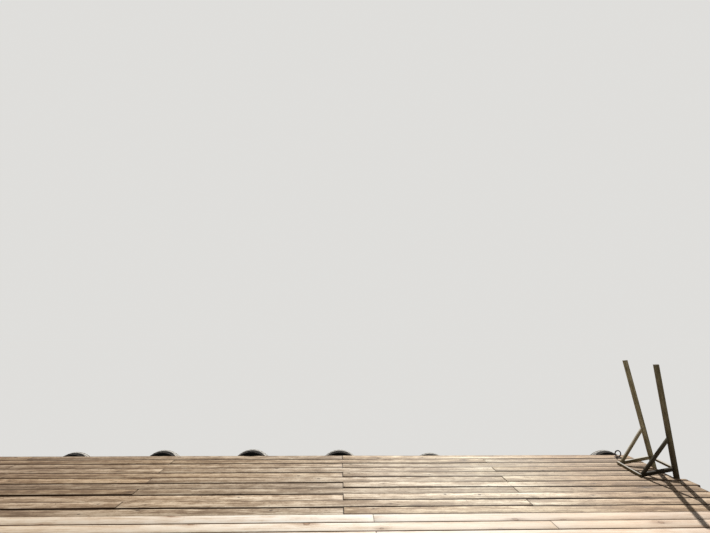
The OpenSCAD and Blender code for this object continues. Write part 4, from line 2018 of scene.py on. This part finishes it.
    def _bars(self, mill: Sawmill) -> None:
        """Builds the foot bar on the deck and the tie between the stiles.

        Args:
            mill: Mill that eases and warps them.
        """
        at = self._side_lines()
        heel = at["low"]
        inland = heel.x * self._cos(self.lean) - heel.y * self._sin(self.lean) * self._cos(self.splay)
        half = self.span / 2 + self.arm_t / 2
        foot = Stick(
            Vector((inland - self.slack - self.bar, -half, self.slack)),
            Vector((inland - self.slack, half + self.bar_proud, self.slack + self.bar)),
            self.bar_tones[0], 1,
        )
        self._finish(mill.saw("ladder_foot_bar_timber", [foot]), self.place(), "ladder_foot_bar")
        middle = (at["arm_end"].y + at["arm_top"].y) / 2 * self._cos(self.splay)
        side = self.stile_t / 2 / self._cos(self.splay)
        reach = self.span / 2 + middle * self._tan(self.splay) - side - self.slack - self.tie_clear
        tie = Stick(
            Vector((-self.bar / 2, -reach, middle - self.bar / 2)),
            Vector((self.bar / 2, reach, middle + self.bar / 2)), self.bar_tones[1], 1,
        )
        self._finish(mill.saw("ladder_tie_bar_timber", [tie]), self.leaning(), "ladder_tie_bar")

    def _fixings(self) -> None:
        """Adds the coach bolts that hold the stiles to the rim."""
        places = []
        for side in (-1, 1):
            for drop in self.bolt_drops:
                spot = Matrix.Translation((self.stile_w / 2, 0, -drop))
                places.append(self.on_side(side) @ spot @ Matrix.Rotation(math.pi / 2, 4, "Y"))
        piece = stamp(bolt_head(self.bolt_r), places, "ladder_bolts")
        self.stock.hand_over(piece, Finish.RUST, "rusty_steel")

    def _finish(self, piece: bpy.types.Object, place: Matrix, node: str) -> None:
        """Puts a ladder piece in place and hands it over."""
        settle(piece, place)
        self.stock.hand_over(piece, Finish.LADDER, "ladder_wood", node)


@dataclass
class MooringEye:
    """Steel ring on a foot plate near the corner of the deck."""

    stock: Stock
    bore_r: float = 0.030
    bar: float = 0.014
    plate_t: float = 0.006
    plate_rim: float = 0.004
    plate_crown: float = 0.0004
    weld: tuple[float, float, float] = (0.021, 0.011, 0.0055)
    screw_r: float = 0.0042
    screw_h: float = 0.003
    screw_sunk: float = 0.001
    screw_inset: float = 0.011
    arris: float = 0.0009

    def build(self) -> None:
        """Builds the ring, its weld, its plate and its screws."""
        low, high = node_box("mooring_eye")
        middle = (low + high) / 2
        half = (high.y - low.y) / 2
        plate_top = low.z + self.plate_t
        ring_z = plate_top + self.bore_r + self.bar - self.bar / 4
        bench = Bench("mooring_ring")
        bpy.ops.mesh.primitive_torus_add(
            major_segments=64, minor_segments=16, major_radius=self.bore_r + self.bar / 2,
            minor_radius=self.bar / 2, location=(middle.x, middle.y, ring_z), rotation=(math.pi / 2, 0, 0),
        )
        first = bench.block(
            (middle.x - half, low.y, low.z), (middle.x + half, high.y, plate_top), (1, 1, 0)
        )
        bench.pick_faces(lambda c, n: n.z > 0.9 and c.z < plate_top + 0.001, first)
        bpy.ops.mesh.inset(thickness=self.plate_rim)
        bpy.ops.transform.translate(value=(0, 0, self.plate_crown))
        bpy.ops.mesh.select_all(action="DESELECT")
        bpy.ops.mesh.primitive_uv_sphere_add(
            segments=16, ring_count=8, radius=1.0, location=(middle.x, middle.y, plate_top), scale=self.weld
        )
        reach = half - self.screw_inset
        for x in (middle.x - reach, middle.x + reach):
            for y in (middle.y - reach, middle.y + reach):
                bench.rod((x, y, plate_top - self.screw_sunk), self.screw_h, self.screw_r, 10)
        piece = bench.take_off()
        ease(piece, self.arris, 1, 50)
        smooth(piece, 40)
        self.stock.hand_over(piece, Finish.RUST, "rusty_steel", "mooring_eye")


@dataclass
class Studio:
    """Pale floor and background, a key lamp beyond the lake side, a soft fill, and the camera."""

    layout: Layout
    stock: Stock
    eye: tuple[float, float, float] = (-3.850, -5.484, 1.6455)
    tilt: tuple[float, float, float] = (98.6003, -0.5043, -2.2163)
    focal_px: float = 400.0
    frame_px: float = 710.0
    sensor: float = 36.0
    sight: float = 300.0
    floor_size: float = 160.0
    key: float = 4.40
    key_angle: float = 0.7
    key_colour: Colour = (1.0, 0.97, 0.92)
    towards: tuple[float, float, float] = (0.276, 0.766, 0.581)
    fill: float = 0.12
    fill_colour: Colour = (0.93, 0.96, 1.0)

    def build(self) -> None:
        """Builds stage, lamps and camera."""
        self._floor()
        self._world()
        self._key()
        self._camera()

    def _floor(self) -> None:
        """Lays the floor at the pile feet."""
        bpy.ops.object.select_all(action="DESELECT")
        bpy.ops.mesh.primitive_plane_add(size=self.floor_size, location=(0, 0, 0))
        floor = bpy.context.object
        floor.name = "studio_floor"
        self.stock.dress(floor, Finish.FLOOR)

    def _world(self) -> None:
        """Lights softly from all round, and shows the far floor's own tone behind the object."""
        world = bpy.data.worlds.new("studio")
        bpy.context.scene.world = world
        world.use_nodes = True
        wiring = Wiring(world.node_tree)
        path = wiring.node("ShaderNodeLightPath", {}, {}, "Is Camera Ray")
        seen = path.larger(path.also("Is Glossy Ray")).larger(path.also("Is Transmission Ray"))
        lit = self.key * self.towards[2] / math.pi
        tones = [
            own * (lit * sun + self.fill * sky)
            for own, sun, sky in zip(Finish.FLOOR.value.colour, self.key_colour, self.fill_colour)
        ]
        fill = wiring.node("ShaderNodeBackground", {}, {0: (*self.fill_colour, 1.0), 1: self.fill})
        far = wiring.node("ShaderNodeBackground", {}, {0: (*tones, 1.0)})
        both = wiring.node("ShaderNodeMixShader", {}, {0: seen, 1: fill, 2: far})
        wiring.plug(wiring.tree.nodes["World Output"].inputs["Surface"], both)

    def _key(self) -> None:
        """Sets the key lamp up beyond the lake side."""
        lamp = bpy.data.lights.new("key", "SUN")
        lamp.energy = self.key
        lamp.angle = math.radians(self.key_angle)
        lamp.color = self.key_colour
        add("key", lamp).rotation_euler = Vector(self.towards).to_track_quat("Z", "Y").to_euler()

    def _camera(self) -> None:
        """Sets the camera up where the photograph was taken from."""
        lay = self.layout
        data = bpy.data.cameras.new("photo_view")
        data.sensor_width = self.sensor
        data.sensor_fit = "HORIZONTAL"
        data.lens = self.sensor * self.focal_px / self.frame_px
        data.clip_end = self.sight
        camera = add("photo_view", data)
        corner = (lay.right, lay.lake_edge, lay.deck_h)
        camera.location = [place + away for place, away in zip(corner, self.eye)]
        camera.rotation_euler = [math.radians(a) for a in self.tilt]
        bpy.context.scene.camera = camera


def main() -> None:
    """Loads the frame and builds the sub-assemblies in order."""
    logging.basicConfig(level=logging.INFO, format="%(name)s: %(message)s")
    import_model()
    bpy.context.scene.view_settings.view_transform = "Standard"
    layout = Layout()
    stock = Stock()
    ladder = Ladder(layout, stock)
    Studio(layout, stock).build()
    Deck(layout, stock, ladder.notch).build()
    Framing(layout, stock).build()
    Piles(layout, stock).build()
    TyreFenders(layout, stock).build()
    ladder.build()
    MooringEye(stock).build()


if __name__ == "__main__":
    main()
